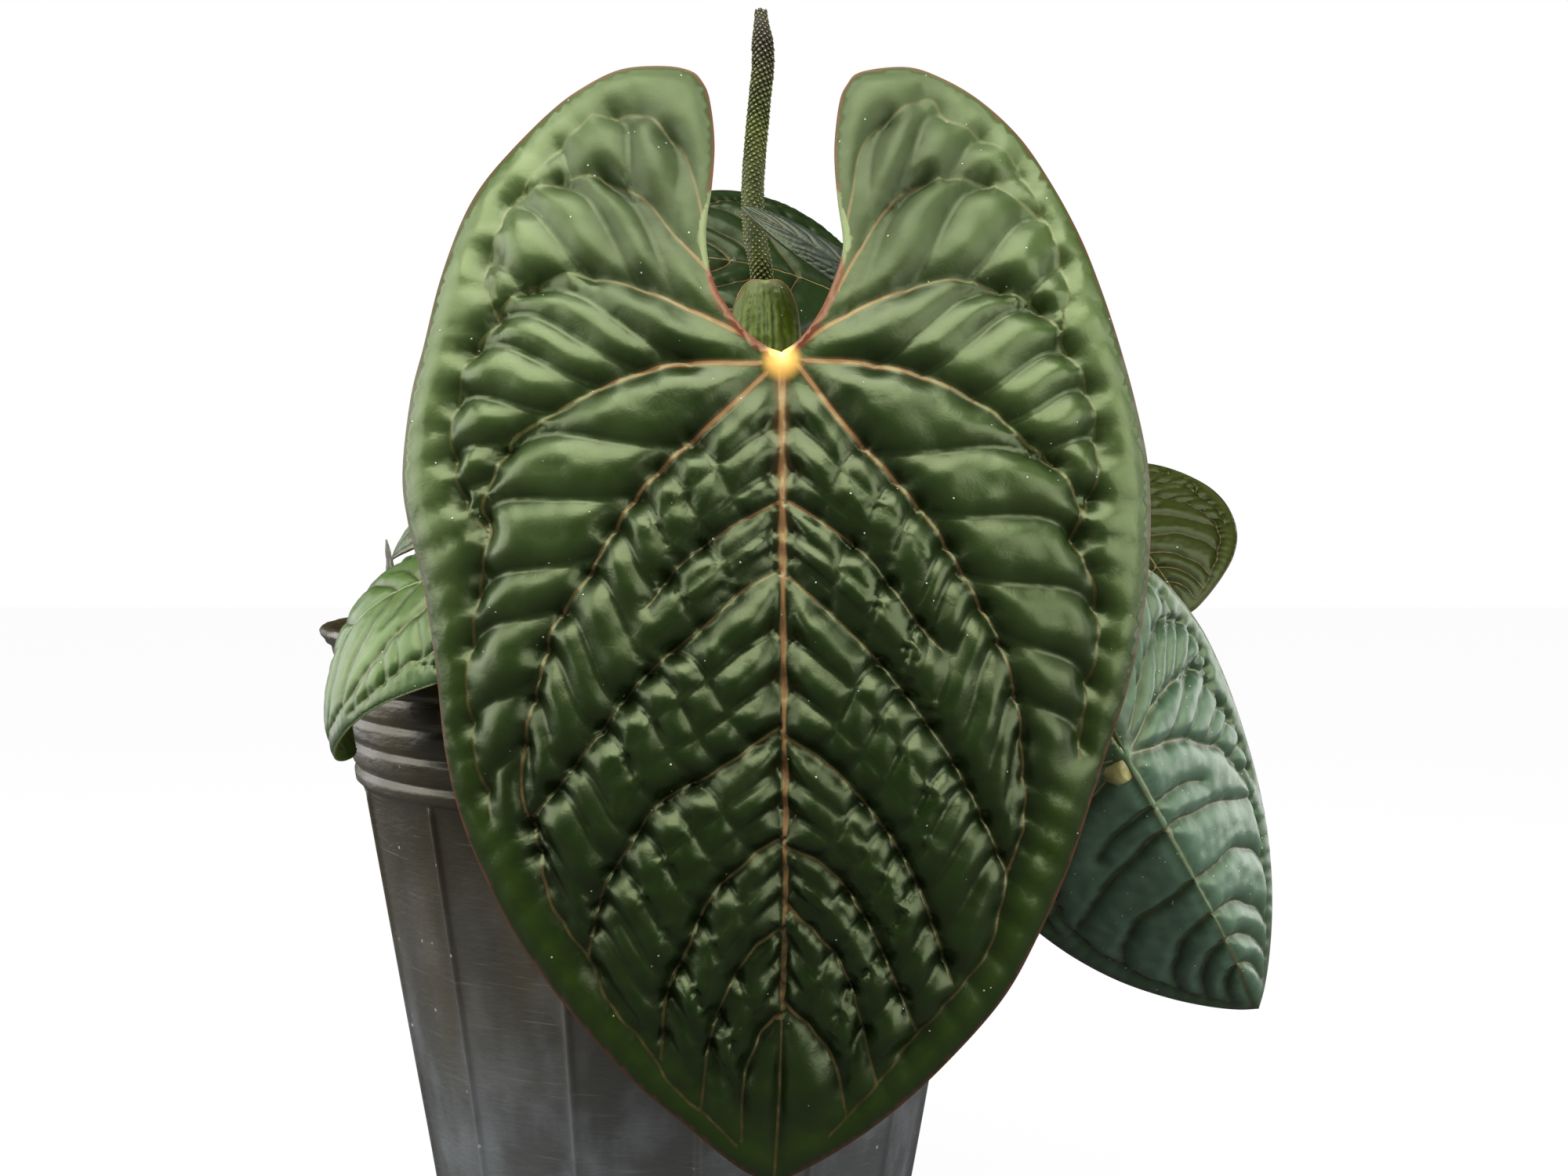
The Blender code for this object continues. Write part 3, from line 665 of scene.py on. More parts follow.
def quilted(name, left, right, place, veins, mat, scale=1.0, step=1.0, thick=0.5, lift=1.6,
            knob=0.0, strip=False, relief=1.0):
    """A thin closed sheet whose relief and marks come from its veins."""
    s = scale * step
    right, left = curve(right, 0.8 * s), curve(left, 0.8 * s)
    loop = np.vstack([right[:-1], left[::-1][:-1]])
    groups = [(loop, 0.05 * s)]
    for kind, gap, offsets, room in (("rib", 0.9, (0,), 0.4), ("rib", 0.9, (-0.45, 0.45), 0.33),
                                     ("rib", 0.9, (-1.1, 1.1), 0.4), ("cross", 1.0, (0,), 0.5),
                                     ("cross", 1.0, (-0.75, 0.75), 0.5), ("edge", 1.1, (0,), 0.6)):
        parts = [rows(line, gap * s, np.multiply(offsets, s))
                 for _, line, *_ in of_kind(veins, kind)]
        if parts:
            groups.append((np.vstack(parts), room * s))
    lo, hi = loop.min(0), loop.max(0)
    grid = 1.25 * s
    xs, ys = np.meshgrid(np.arange(lo[0], hi[0], grid), np.arange(lo[1], hi[1], grid * 0.87))
    xs = xs + grid / 2 * (np.arange(len(xs)) % 2)[:, None]
    groups.append((np.stack([xs.ravel(), ys.ravel()], axis=1), 0.8 * s))
    for k in range(1, len(groups)):
        pts, room = groups[k]
        pts = pts[inside(pts, loop)]
        groups[k] = (pts[nearest(pts, loop)[0] > 0.5 * s], room)
    pts = thin(groups, 1.1 * s)
    edges = [(i, (i + 1) % len(loop)) for i in range(len(loop))]
    flat, _, tris, *_ = delaunay_2d_cdt(pts, edges, [], 1, 1e-6)
    flat = np.array([tuple(p) for p in flat])

    def samples(kind):
        spots, wide, deep = [], [], []
        for _, line, w0, w1, d0, d1 in of_kind(veins, kind):
            fine = curve(line, 0.3 * scale)
            spots.append(fine)
            wide.append(w1 + (w0 - w1) * np.linspace(1, 0, len(fine)) ** 1.5)
            deep.append(np.linspace(d0, d1, len(fine)))
        if not spots:
            return np.full(len(flat), 99.0), np.full(len(flat), 0.1), np.zeros(len(flat))
        far, which = nearest(flat, np.vstack(spots))
        return far / scale, np.concatenate(wide)[which], np.concatenate(deep)[which]

    out, y = np.abs(flat[:, 0]) / scale, flat[:, 1] / scale
    rib, wide, deep = samples("rib")
    cross, _, furrow = samples("cross")
    edge, _, pleated = samples("edge")
    rim = nearest(flat, curve(np.vstack([loop, loop[:1]]), 0.4 * s))[0] / scale
    joint = np.linalg.norm(flat, axis=1) / scale
    shade = np.array([noise.noise(Vector((x / 6, y / 6, 3)) / scale) for x, y in flat])
    soft = np.array([noise.noise(Vector((x / 2.2, y / 2.2, 9)) / scale) for x, y in flat])
    valley = deep * (1 - clip((rib - wide) / VALLEY)) ** 2
    crease = furrow * (1 - clip(cross / CREASE)) ** 2
    pleat = pleated * (1 - clip(edge / PLEAT)) ** 2
    pleat += 0.12 * (1 - clip(cells(flat / scale, 6.5) / WRINKLE)) ** 2
    ridge = 0.55 * wide * np.sqrt(clip(1 - (rib / (wide + 0.25)) ** 2))
    rise = lift - valley - crease - pleat + ridge + 0.3 * shade + 0.03 * soft
    calm = 0.55 * ease(rim, 0, 4) + 0.45 * ease(rim, 5, 13)  # the quilting eases to the rim
    rise *= calm * ease(joint, 2, 12) * relief * QUILT
    rise += knob * np.exp(-(joint / 2.6) ** 2)
    bare = clip(1 - rim / 1.5) * (y > 0) * (1 - ease(joint, 18, 24)) * strip
    rise += 0.5 * bare

    top = place(flat[:, 0], flat[:, 1])
    tri = np.array(tris)
    facing = np.cross(top[tri[:, 1]] - top[tri[:, 0]], top[tri[:, 2]] - top[tri[:, 0]])
    normal = np.zeros_like(top)
    for k in range(3):
        np.add.at(normal, tri[:, k], facing)
    normal /= np.linalg.norm(normal, axis=1)[:, None]
    top = top + normal * (rise * scale)[:, None]
    line = clip(1 - rib / (wide + 0.25))
    bulge = 0.9 * line * (wide > 0.12) * ease(joint, 3, 9)
    back = top - normal * (thick + bulge * scale)[:, None]
    n = len(top)
    faces = [list(t) for t in tris] + [[a + n, c + n, b + n] for a, b, c in tris]
    seen = {(t[k], t[(k + 1) % 3]) for t in tris for k in range(3)}
    faces += [[b, a, a + n, b + n] for a, b in seen if (b, a) not in seen]
    # Marks for the leaf skin: lobe places a painted sheen, low painted shade in the creases,
    # rib_shadow a painted shadow along the ribs.
    marks = {
        "rib": line, "bold": np.clip(wide / 0.5, 0.15, 1),
        "rib_shadow": clip(1 - (rib - wide) / 0.7) * clip(wide / 0.35),
        "cross": clip(1 - cross / 0.6), "rim": clip(1 - rim / 0.7),
        "band": 1 - ease(rim, 4, 11), "joint": clip(1 - joint / 5), "away": clip(joint / 110),
        "lobe": ease(y, -95, 35) * (0.15 + 0.85 * ease(out, 12, 52)), "bare": bare,
        "low": clip(1 - rise / (lift * relief)),
        "dull": ease(y, -5, 30) * (1 - ease(out, 28, 52)),
        "strip": strip * (out < 17) * clip(
            0.5 + 1.6 * (1.7 * np.sin(np.pi * clip((y - 13) / 20)) - 0.3 - rim))}
    marks = {key: np.tile(value, 2) for key, value in marks.items()}
    marks["under"] = np.repeat([0.0, 1.0], n)
    return piece(name, np.vstack([top, back]), faces, mat, **marks)


def scaled(veins, wide, long, flip=1):
    """The same veins, without the finest, on a blade of another size."""
    return [(kind, [(flip * x * wide / HALF, y * long / LENGTH) for x, y in line], *rest)
            for kind, line, *rest in veins if kind != "fine"]


# %% [markdown]
# ## Leaf finish
# One group paints every leaf from the marks that the mesh carries: deep green cells, a paler
# band along the margin, a painted sheen that makes the lobes and the band on them paler,
# painted shade in the creases of the quilting, faint cross veins, tan ribs with a painted
# shadow along them that turn green away from the joint, a dark margin, and a dull paler
# underside. Real leaf skin is also netted with creases a millimetre or two apart, too fine to
# model, so those are bump.

# %% The leaf skin group
tree, given, out = group(
    "leaf skin",
    [("Deep", "c", rgb(0.02, 0.045, 0.012)), ("Lobe", "c", rgb(0.08, 0.12, 0.05)),
     ("Band", "c", rgb(0.05, 0.09, 0.02)), ("Band Top", "c", rgb(0.08, 0.12, 0.05)),
     ("Rib", "c", rgb(0.5, 0.28, 0.16)),
     ("Far Rib", "c", rgb(0.2, 0.22, 0.1)), ("Cross", "c", rgb(0.2, 0.26, 0.14)),
     ("Margin", "c", rgb(0.1, 0.03, 0.02)), ("Knob", "c", rgb(0.75, 0.42, 0.1)),
     ("Knob Top", "c", rgb(0.95, 0.72, 0.3)),
     ("Under", "c", rgb(0.13, 0.17, 0.07)), ("Lint", "f", 0.05), ("Cross Strength", "f", 0.3)],
    [("Color", "c"), ("Roughness", "f"), ("Height", "f")])
where = place_of(tree)
broad = span(tree, cloud(tree, where, 38, 4), 0.3, 0.7)
small = cloud(tree, where, 420, 4)
# Painted sheen: the lobe mark lays the paler Lobe colour on the upper lobes and outer sides.
lobe = mark(tree, "lobe")
color = mix(tree, times(tree, lobe, span(
    tree, cloud(tree, where, 25, 4), 0.2, 0.8, 0.75, 1.0)), given["Deep"], given["Lobe"])
# Painted sheen: Band Top makes the band paler on the lobes.
color = mix(tree, times(tree, mark(tree, "band"), 0.75), color,
            mix(tree, lobe, given["Band"], given["Band Top"]))
# The first two tints vary the green at random. The third is painted shade: the low mark darkens
# the creases of the quilting.
for amount, tint in ((times(tree, broad, 0.3), (0.7, 0.75, 0.6)),
                     (span(tree, small, 0.35, 0.75, 0.0, 0.3), (1.5, 1.4, 1.5)),
                     (times(tree, mark(tree, "low"), 0.85), (0.3, 0.36, 0.24))):
    color = tinted(tree, amount, color, rgb(*tint))
crossed = times(tree, span(tree, mark(tree, "cross"), 0.3, 1.0),
                span(tree, lobe, 0.2, 0.8, 0.1, 1.0))
color = mix(tree, times(tree, crossed, given["Cross Strength"]), color, given["Cross"])
near = span(tree, mark(tree, "away"), 0.1, 0.42, 1.0, 0.0)
# Painted shadow: a dark brown edge along each rib near the joint.
color = mix(tree, times(tree, span(tree, mark(tree, "rib_shadow"), 0.1, 0.9),
                        times(tree, near, 0.7)), color, rgb(0.055, 0.025, 0.012))
far_rib = mix(tree, span(tree, lobe, 0.3, 0.8), rgb(0.05, 0.035, 0.012), given["Far Rib"])
near = calc(tree, "MAXIMUM", near, span(tree, mark(tree, "bold"), 0.55, 0.9, 0.0, 0.9))
rib_color = mix(tree, near, far_rib, given["Rib"])
rib_color = mix(tree, span(tree, small, 0.4, 0.7, 0, 0.35), rib_color, rgb(0.22, 0.12, 0.06))
color = mix(tree, times(tree, span(tree, mark(tree, "rib"), 0.2, 0.6),
                        span(tree, mark(tree, "bold"), 0.1, 0.7, 0.35, 1.0)), color, rib_color)
for name, low, high, most, paint in (
        ("rim", 0.35, 0.8, 0.75, given["Margin"]), ("strip", 0.3, 0.7, 1, rgb(0.1, 0.12, 0.055)),
        ("bare", 0.05, 0.35, 1, rgb(0.09, 0.012, 0.009)), ("joint", 0.1, 0.75, 1, given["Knob"]),
        ("joint", 0.55, 1.0, 0.7, given["Knob Top"])):
    color = mix(tree, span(tree, mark(tree, name), low, high, 0, most), color, paint)
under = span(tree, mark(tree, "under"), 0.35, 0.65)
back_color = mix(tree, span(tree, mark(tree, "rib"), 0.05, 0.4), mix(
    tree, broad, given["Under"], mix(tree, 0.5, given["Under"], rgb(0.05, 0.07, 0.03))),
    rgb(0.3, 0.3, 0.13))
color = mix(tree, under, color, back_color)
dust_and_reflection = use(tree, "specks", Color=color, Speck=rgb(0.4, 0.43, 0.36), Scale=800.0,
            Amount=given["Lint"])
tree.links.new(dust_and_reflection[0], out["Color"])
skin = span(tree, cloud(tree, where, 90, 3), 0.3, 0.7, 0.31, 0.41)
for rougher, by in ((mark(tree, "dull"), 0.25), (under, 0.2), (dust_and_reflection[1], 0.3)):
    skin = calc(tree, "ADD", skin, times(tree, rougher, by))
tree.links.new(skin, out["Roughness"])
net = put(tree, "ShaderNodeTexVoronoi", {"Vector": put(tree, "ShaderNodeMixRGB", {
    0: 0.004, 1: where, 2: put(tree, "ShaderNodeTexNoise", {"Vector": where, "Scale": 300.0}
                               ).outputs["Color"]}, blend_type="ADD").outputs[0],
    "Scale": 520.0}, feature="DISTANCE_TO_EDGE").outputs["Distance"]
height = times(tree, span(tree, net, 0.0, 0.18), 0.08)
for higher, by in ((small, 0.5), (dust_and_reflection[1], 1.5)):
    height = calc(tree, "ADD", height, times(tree, higher, by))
tree.links.new(height, out["Height"])


def leaf_finish(name, gloss=0.5, bump=0.0001, **colors):
    """A leaf's material: the group's colours, with gloss set on the shader itself."""
    mat = bpy.data.materials.new(name)
    mat.use_nodes = True
    tree = mat.node_tree
    surface = tree.nodes["Principled BSDF"].inputs
    made = use(tree, "leaf skin", **colors)
    tree.links.new(made["Color"], surface["Base Color"])
    tree.links.new(made["Roughness"], surface["Roughness"])
    tree.links.new(put(tree, "ShaderNodeBump", {"Strength": 1.0, "Distance": bump,
                                                "Height": made["Height"]}).outputs[0],
                   surface["Normal"])
    surface["Specular IOR Level"].default_value = gloss
    surface["Specular Tint"].default_value = rgb(0.8, 0.95, 0.5)
    surface["Coat Weight"].default_value = 0.06
    surface["Coat Roughness"].default_value = 0.3
    return mat


# %% [markdown]
# ## The large leaf
# It hangs almost upright in front of everything else. Its lobes lean back, its sides and tip
# curl back, and the ribs by the notch are bare and crimson where they leave the joint.


# %% Surfaces of the leaves
def across(vectors, amounts):
    """Each amount times one vector, or times its own."""
    return np.asarray(vectors) * np.asarray(amounts)[:, None]


def arc(start, rate, run):
    """How far along and how far up a line gets that starts at one angle and turns steadily."""
    rate = rate if abs(rate) > 1e-6 else 1e-6
    end = start + rate * run
    return (np.sin(end) - math.sin(start)) / rate, (math.cos(start) - np.cos(end)) / rate


def bent(joint, tip_way, face_way, length, half, bend, fold, roll):
    """Flat place -> space, for a blade that bends along, folds and rolls across (degrees)."""
    t = unit(tip_way)
    n = unit(np.asarray(face_way, float) - np.dot(face_way, t) * t)
    side = np.cross(n, t)
    bend, fold, roll = (math.radians(a) for a in (bend, fold, roll))

    def place(x, y):
        x, y = np.asarray(x, float), np.asarray(y, float)
        along, drop = arc(0, bend / length, -y)
        out, rise = arc(fold, -(fold + roll) / half, np.abs(x))
        turn = -y * bend / length
        local = across(n, np.cos(turn)) + across(t, np.sin(turn))
        return (spot(*joint) + across(t, along) - across(n, drop) + across(local, rise)
                + across(side, np.copysign(out, x)))
    return place


def front_place(x, y):
    """The large leaf: almost upright, turned back at its lobes, sides and tip."""
    x, y = np.asarray(x, float), np.asarray(y, float)
    s, u = -y, np.abs(x)
    h = 0.2 * s - 0.0017 * s * s - np.where(s < 0, 0.0036 * s * s, 0)
    h = h + 3.0 * (1 - np.exp(-u / 8)) - 0.0026 * u * u
    flare = 1 - h / 320
    return spot(26.3, -102, 54) + np.stack([x * flare, -h, y * flare + 29 * (flare - 1)], axis=1)


# %% Make the large leaf
# Its Lobe and Band_Top colours are far paler than Deep and Band: a painted sheen on the lobes.
front_green = leaf_finish(
    "front_leaf_green", Deep=rgb(0.0038, 0.0115, 0.001), Lobe=rgb(0.036, 0.06, 0.016),
    Band=rgb(0.015, 0.034, 0.002), Band_Top=rgb(0.08, 0.115, 0.042),
    Rib=rgb(0.17, 0.088, 0.038), Far_Rib=rgb(0.06, 0.07, 0.02), Cross_Strength=0.1, Lint=0.025)
front_blade = quilted("front_blade_quilted", OUTLINE_LEFT, OUTLINE_RIGHT, front_place,
                      left_veins + right_veins + middle, front_green, knob=1.3, strip=True,
                      relief=1.35)
keep(front_blade, "front_leaf_green", "front_blade")

# %% [markdown]
# ## The smaller leaves
# The others are the same leaf at other ages: half grown, bronze when young, blue-green when
# older. One outline and the same veins serve for all, scaled, and each has its own bend.

# %% Make the smaller leaves
HEART = [
    (0, 0.006), (0.05, 0.02), (0.12, 0.055), (0.17, 0.1), (0.19, 0.16), (0.18, 0.24),
    (0.2, 0.31), (0.27, 0.35), (0.38, 0.355), (0.52, 0.33), (0.66, 0.275), (0.78, 0.2),
    (0.87, 0.11), (0.94, 0.01), (0.99, -0.1), (1, -0.2), (0.98, -0.31), (0.93, -0.43),
    (0.85, -0.56), (0.74, -0.68), (0.59, -0.79), (0.41, -0.88), (0.24, -0.945), (0.1, -0.985),
    (0, -1)]
LANCE = [
    (0, 0.004), (0.35, 0.012), (0.62, -0.04), (0.85, -0.16), (0.98, -0.32), (0.97, -0.48),
    (0.84, -0.64), (0.62, -0.78), (0.36, -0.9), (0.14, -0.97), (0, -1)]
# joint (x, y, above the lip), way to the tip, way it faces, length, half, bend, fold, roll
LEAVES = {
    "left": ((-34, -83, 14), (-0.99, -0.1, -0.01), (-0.14, -0.54, 0.83), 63, 26, 118, 6, 43),
    "right_lower": ((94, -82, -22), (0.47, 0.48, -0.74), (-0.07, -0.96, 0.27), 89, 45, 8, -29,
                    47),
    "right_upper": ((109, 35, 30), (0.2, -0.92, -0.33), (-0.18, -0.73, 0.66), 56, 30, 23, 10,
                    30),
    "back": ((56, 63, 77), (-0.52, -0.73, 0.42), (0.18, -0.71, 0.61), 85, 40, 51, 10, 22),
    "young": ((46, -56, 74), (-0.81, -0.06, 0.57), (0.28, -0.64, 0.67), 33, 6.5, 11, 10, 29),
    "left_back": ((-42, 16, 38), (-0.95, 0.05, -0.3), (-0.3, -0.4, 0.86), 42, 17, 40, 12, 40)}
LEAF_LOOKS = {
    "left": ("left_leaf_green", dict(
        Deep=rgb(0.045, 0.08, 0.02), Lobe=rgb(0.03, 0.058, 0.03), Band=rgb(0.042, 0.07, 0.033),
        Band_Top=rgb(0.05, 0.085, 0.043), Rib=rgb(0.16, 0.24, 0.11), Far_Rib=rgb(0.14, 0.22, 0.1),
        Cross=rgb(0.1, 0.16, 0.08), Margin=rgb(0.4, 0.5, 0.26), Knob=rgb(0.2, 0.28, 0.12),
        Knob_Top=rgb(0.24, 0.32, 0.14), Under=rgb(0.24, 0.42, 0.08), Lint=0.07)),
    "right_lower": ("right_leaf_green", dict(
        Deep=rgb(0.055, 0.1, 0.068), Lobe=rgb(0.045, 0.078, 0.052), Band=rgb(0.055, 0.09, 0.06),
        Band_Top=rgb(0.08, 0.13, 0.065), Rib=rgb(0.1, 0.16, 0.09), Far_Rib=rgb(0.09, 0.15, 0.08),
        Margin=rgb(0.14, 0.17, 0.08), Knob=rgb(0.07, 0.12, 0.06), Knob_Top=rgb(0.08, 0.14, 0.07),
        Lint=0.12)),
    "right_upper": ("bronze_leaf", dict(
        Deep=rgb(0.013, 0.017, 0.003), Lobe=rgb(0.021, 0.026, 0.005), Band=rgb(0.03, 0.036, 0.008),
        Band_Top=rgb(0.04, 0.048, 0.012), Rib=rgb(0.08, 0.1, 0.025), Far_Rib=rgb(0.07, 0.09, 0.02),
        Margin=rgb(0.05, 0.03, 0.015), Lint=0.03, Cross_Strength=0.08)),
    "back": ("back_leaf_green", dict(
        Deep=rgb(0.006, 0.013, 0.003), Lobe=rgb(0.01, 0.02, 0.005), Band=rgb(0.012, 0.022, 0.006),
        Band_Top=rgb(0.012, 0.022, 0.006), Rib=rgb(0.1, 0.09, 0.03), Far_Rib=rgb(0.05, 0.06, 0.02),
        Lint=0.03)),
    "young": ("young_leaf_silver", dict(
        Deep=rgb(0.022, 0.028, 0.027), Lobe=rgb(0.035, 0.045, 0.043), Band=rgb(0.035, 0.05, 0.04),
        Band_Top=rgb(0.035, 0.05, 0.04), Rib=rgb(0.08, 0.09, 0.07), Far_Rib=rgb(0.08, 0.1, 0.07),
        Cross=rgb(0.03, 0.04, 0.03), Margin=rgb(0.05, 0.05, 0.04), Under=rgb(0.1, 0.06, 0.05),
        Lint=0.2)),
    "left_back": ("left_back_leaf_green", dict(
        Deep=rgb(0.016, 0.03, 0.01), Lobe=rgb(0.025, 0.04, 0.015), Band=rgb(0.025, 0.04, 0.015),
        Lint=0.03))}
GLOSS = {"right_upper": 0.1, "back": 0.2, "young": 0.25}  # duller than the others
RELIEF = {"left": 0.6, "right_lower": 1.2, "young": 0.6}  # flatter or deeper quilting
places = {"front": front_place}
for name, leaf in LEAVES.items():
    length, half = leaf[3], leaf[4]
    places[name] = bent(*leaf)
    slot, looks = LEAF_LOOKS[name]
    size = math.sqrt(half / HALF * length / LENGTH)  # how fine its points and relief are
    right = np.array(HEART) * (half, length)
    if name == "right_lower":
        right = right * np.where((right[:, 1] > 0) & (right[:, 0] < 10), 0.1, 1)[:, None] ** (1, 0)
    veins = (scaled(left_veins, half, length) + scaled(left_veins, half, length, -1)
             + scaled(middle, half, length))
    obj = quilted(name + "_blade_quilted", right * (-1, 1), right, places[name], veins,
                  leaf_finish(slot, GLOSS.get(name, 0.5), **looks), scale=size, step=1.35,
                  thick=0.45, knob=0.8, relief=RELIEF.get(name, 1.0))
    keep(obj, slot, name + "_blade")

# %% [markdown]
# ## Stem, stalks and roots
# The stem is a short upright trunk, ringed with the scars of old leaves. Each leaf stalk
# leaves it on a slant, and swells just below its blade into a joint that turns the leaf to the
# light. The roots that show are thin, pale and matt. All of these are lines with a thickness.

# %% Make the stem
STEM_R, MIX_Z, STEM_SHOW, RING_GAP = 8.0, 137.0, 31.0, 6.2
stem_bark = finish("stem_bark", lambda tree: mix(
    tree, span(tree, cloud(tree, place_of(tree, (1, 1, 6)), 90, 4), 0.42, 0.6),
    use(tree, "streaks", Color_A=rgb(0.09, 0.085, 0.03), Color_B=rgb(0.17, 0.14, 0.07))[0],
    rgb(0.06, 0.04, 0.022)), cloudy(0.55, 0.8, 200), grain(500, 6, (1, 1, 4)), 0.0006)
heights = np.arange(MIX_Z - 25, MIX_Z + STEM_SHOW + 0.01, 0.5)
girth = []
for z in heights:
    ring = (z - 3) % RING_GAP
    girth.append(STEM_R - 0.5 + 0.55 * math.exp(-(ring - 3) ** 2 / 0.5)
                 + 0.25 * math.sin(z * 0.9) * math.sin(z * 0.37))
girth[-4:] = [7.4, 6.6, 5.6, 4.4]
stem = tube("stem_ringed", [(0, 0, z) for z in heights], girth, stem_bark, 48, 0.5)
keep(stem, "stem_bark", "stem")

# %% Make the leaf stalks
stalk_green = finish("stalk_green", lambda tree: mix(
    tree, span(tree, mark(tree, "along"), 0.82, 0.97),
    use(tree, "streaks", Color_A=rgb(0.06, 0.085, 0.02), Color_B=rgb(0.11, 0.13, 0.04),
        Across=500.0, Upright=120.0)[0], rgb(0.22, 0.2, 0.07)), cloudy(0.36, 0.5, 150),
    grain(900, 4), 0.0002, Coat_Weight=0.1)
# side of the stem in degrees, height above the mix, radius, way points
PETIOLES = {
    "front": (-76, 20, 2.1, [(9, -34, 24), (19, -70, 45)]),
    "left": (-135, 9, 1.8, [(-20, -40, 13), (-30, -68, 8)]),
    "right_lower": (-30, 13, 2.0, [(34, -22, 24), (72, -48, 22), (91, -64, -2)]),
    "right_upper": (10, 18, 1.8, [(42, 17, 15), (86, 38, 10)]),
    "back": (66, 18, 1.9, [(18, 36, 36), (42, 68, 58)]),
    "young": (-42, 27, 1.1, [(22, -20, 42), (38, -42, 62)]),
    "left_back": (158, 15, 1.3, [(-18, 7, 15), (-33, 12, 28)])}


def stem_side(az, height, rise):
    """Where a stalk leaves the stem, and its way there."""
    out = heading(az)
    start = out * (STEM_R - 0.6) + (0, 0, MIX_Z + height)
    return start, unit(out * math.cos(rise) + np.array([0, 0, math.sin(rise)]))


for name, (az, height, radius, way) in PETIOLES.items():
    start, out = stem_side(az, height, math.radians(35))
    inset = radius + 1.2
    here, right, ahead = places[name]([0, 1, 0], [-inset, -inset, 1 - inset])
    arrive = unit(np.cross(right - here, ahead - here))
    end = here - arrive * 0.6
    pts = [start, start + out * 5] + [spot(*w) for w in way] + [end - arrive * 5, end]
    swell = [1.5, 1.12] + [1] * 9 + [1.02, 1.12, 1.35, 1.42, 1.3]
    stalk = tube(name + "_stalk", curve(pts, 1.5), [radius * k for k in swell], stalk_green, 24,
                 0.12, (out, arrive))
    keep(stalk, "stalk_green", name + "_petiole")

# %% Make the roots
root_skin = finish("root_skin", painted("mottle", (0.2, 0.15, 0.085), (0.34, 0.29, 0.19),
                                        Scale=140.0), 0.8, grain(1200, 5), 0.0004)


MIX_DEPTH, MIX_DOME, MIX_R = 15, 2, 75.5  # below the lip, height of its dome, radius


def mix_top(r):
    """Height of the mix, which is a little higher in the middle."""
    return POT_H - MIX_DEPTH + MIX_DOME * (1 - (r / MIX_R) ** 2)


for k, (az, height, reach) in enumerate([(-105, 10, 24), (-12, 9, 27), (126, 11, 22),
                                         (-168, 7, 26)], 1):
    start, out = stem_side(az, height, math.radians(-10))
    level = unit(out * (1, 1, 0))
    end, middle_way = level * reach, level * (STEM_R + 8)
    end[2] = mix_top(reach) + 0.6
    middle_way[2] = mix_top(reach) + height * 0.6 + 2
    pts = [start, start + out * 2.5, middle_way, end - level * 4 + (0, 0, 1.6), end]
    root = tube(f"root_{k}", curve(pts, 0.8), [1.5, 1.3, 1.2, 1.25, 0.9], root_skin, 18, 0.35,
                (out, None))
    keep(root, "root_skin", f"aerial_root_{k}")

# %% [markdown]
# ## The flower
# An anthurium's flower is a spike of tiny flowers packed in spirals, with one leaf-like spathe
# below it, here green and folded down. The spike's core is a tube. The small flowers repeat by
# a rule, so Geometry Nodes set them: points climb the spike's curve, each turned on by the
# golden angle, and every point gets one four-lobed flower with a pale tip.

# %% The stalk and core of the spike
top = spot(22, -43, 76)
path = [np.array([0, 0, MIX_Z + STEM_SHOW - 1.0]), np.array([0, 0, MIX_Z + STEM_SHOW + 8]),
        spot(5, -9, 38), spot(15, -28, 58), top - np.array([0, 0, 4]), top]
peduncle = tube("flower_stalk", curve(path, 1.5), [2.3, 2.1, 2.0, 2.0, 2.1, 2.2], stalk_green, 24,
                0.1, ((0, 0, 1), (0, 0, 1)))
keep(peduncle, "stalk_green", "peduncle")
ROD = [(0, 0), (-0.4, 4), (-1.7, 11), (-2.2, 20), (-1.6, 30), (-0.6, 41), (0.1, 49), (-0.4, 60)]
ROD_R = [2.0, 2.45, 2.5, 2.4, 2.4, 2.3, 2.2, 2.1, 2.1, 2.0, 1.3]
rod = curve([top + np.array([x, 0, z + 0.2]) for x, z in ROD], 1.0)
DARKER_FROM = 0.262  # metres above the floor
spike_olive = finish("spadix_olive", lambda tree: mix(
    tree, span(tree, calc(tree, "SUBTRACT", height_of(tree), DARKER_FROM), 0.0, 0.02),
    use(tree, "mottle", Color_A=rgb(0.022, 0.03, 0.005), Color_B=rgb(0.05, 0.06, 0.01),
        Scale=160.0, Spread=0.12)[0], rgb(0.02, 0.015, 0.012)), 0.5,
    grain(2500, 3), 0.0001, Specular_IOR_Level=0.2)
flower_tip = finish("flower_tip", painted("mottle", (0.36, 0.35, 0.12), (0.1, 0.09, 0.035),
                                          Scale=900.0), 0.5)
core = tube("spadix_core", rod, ROD_R, spike_olive, 24, 0.05, ((0, 0, 1), None))

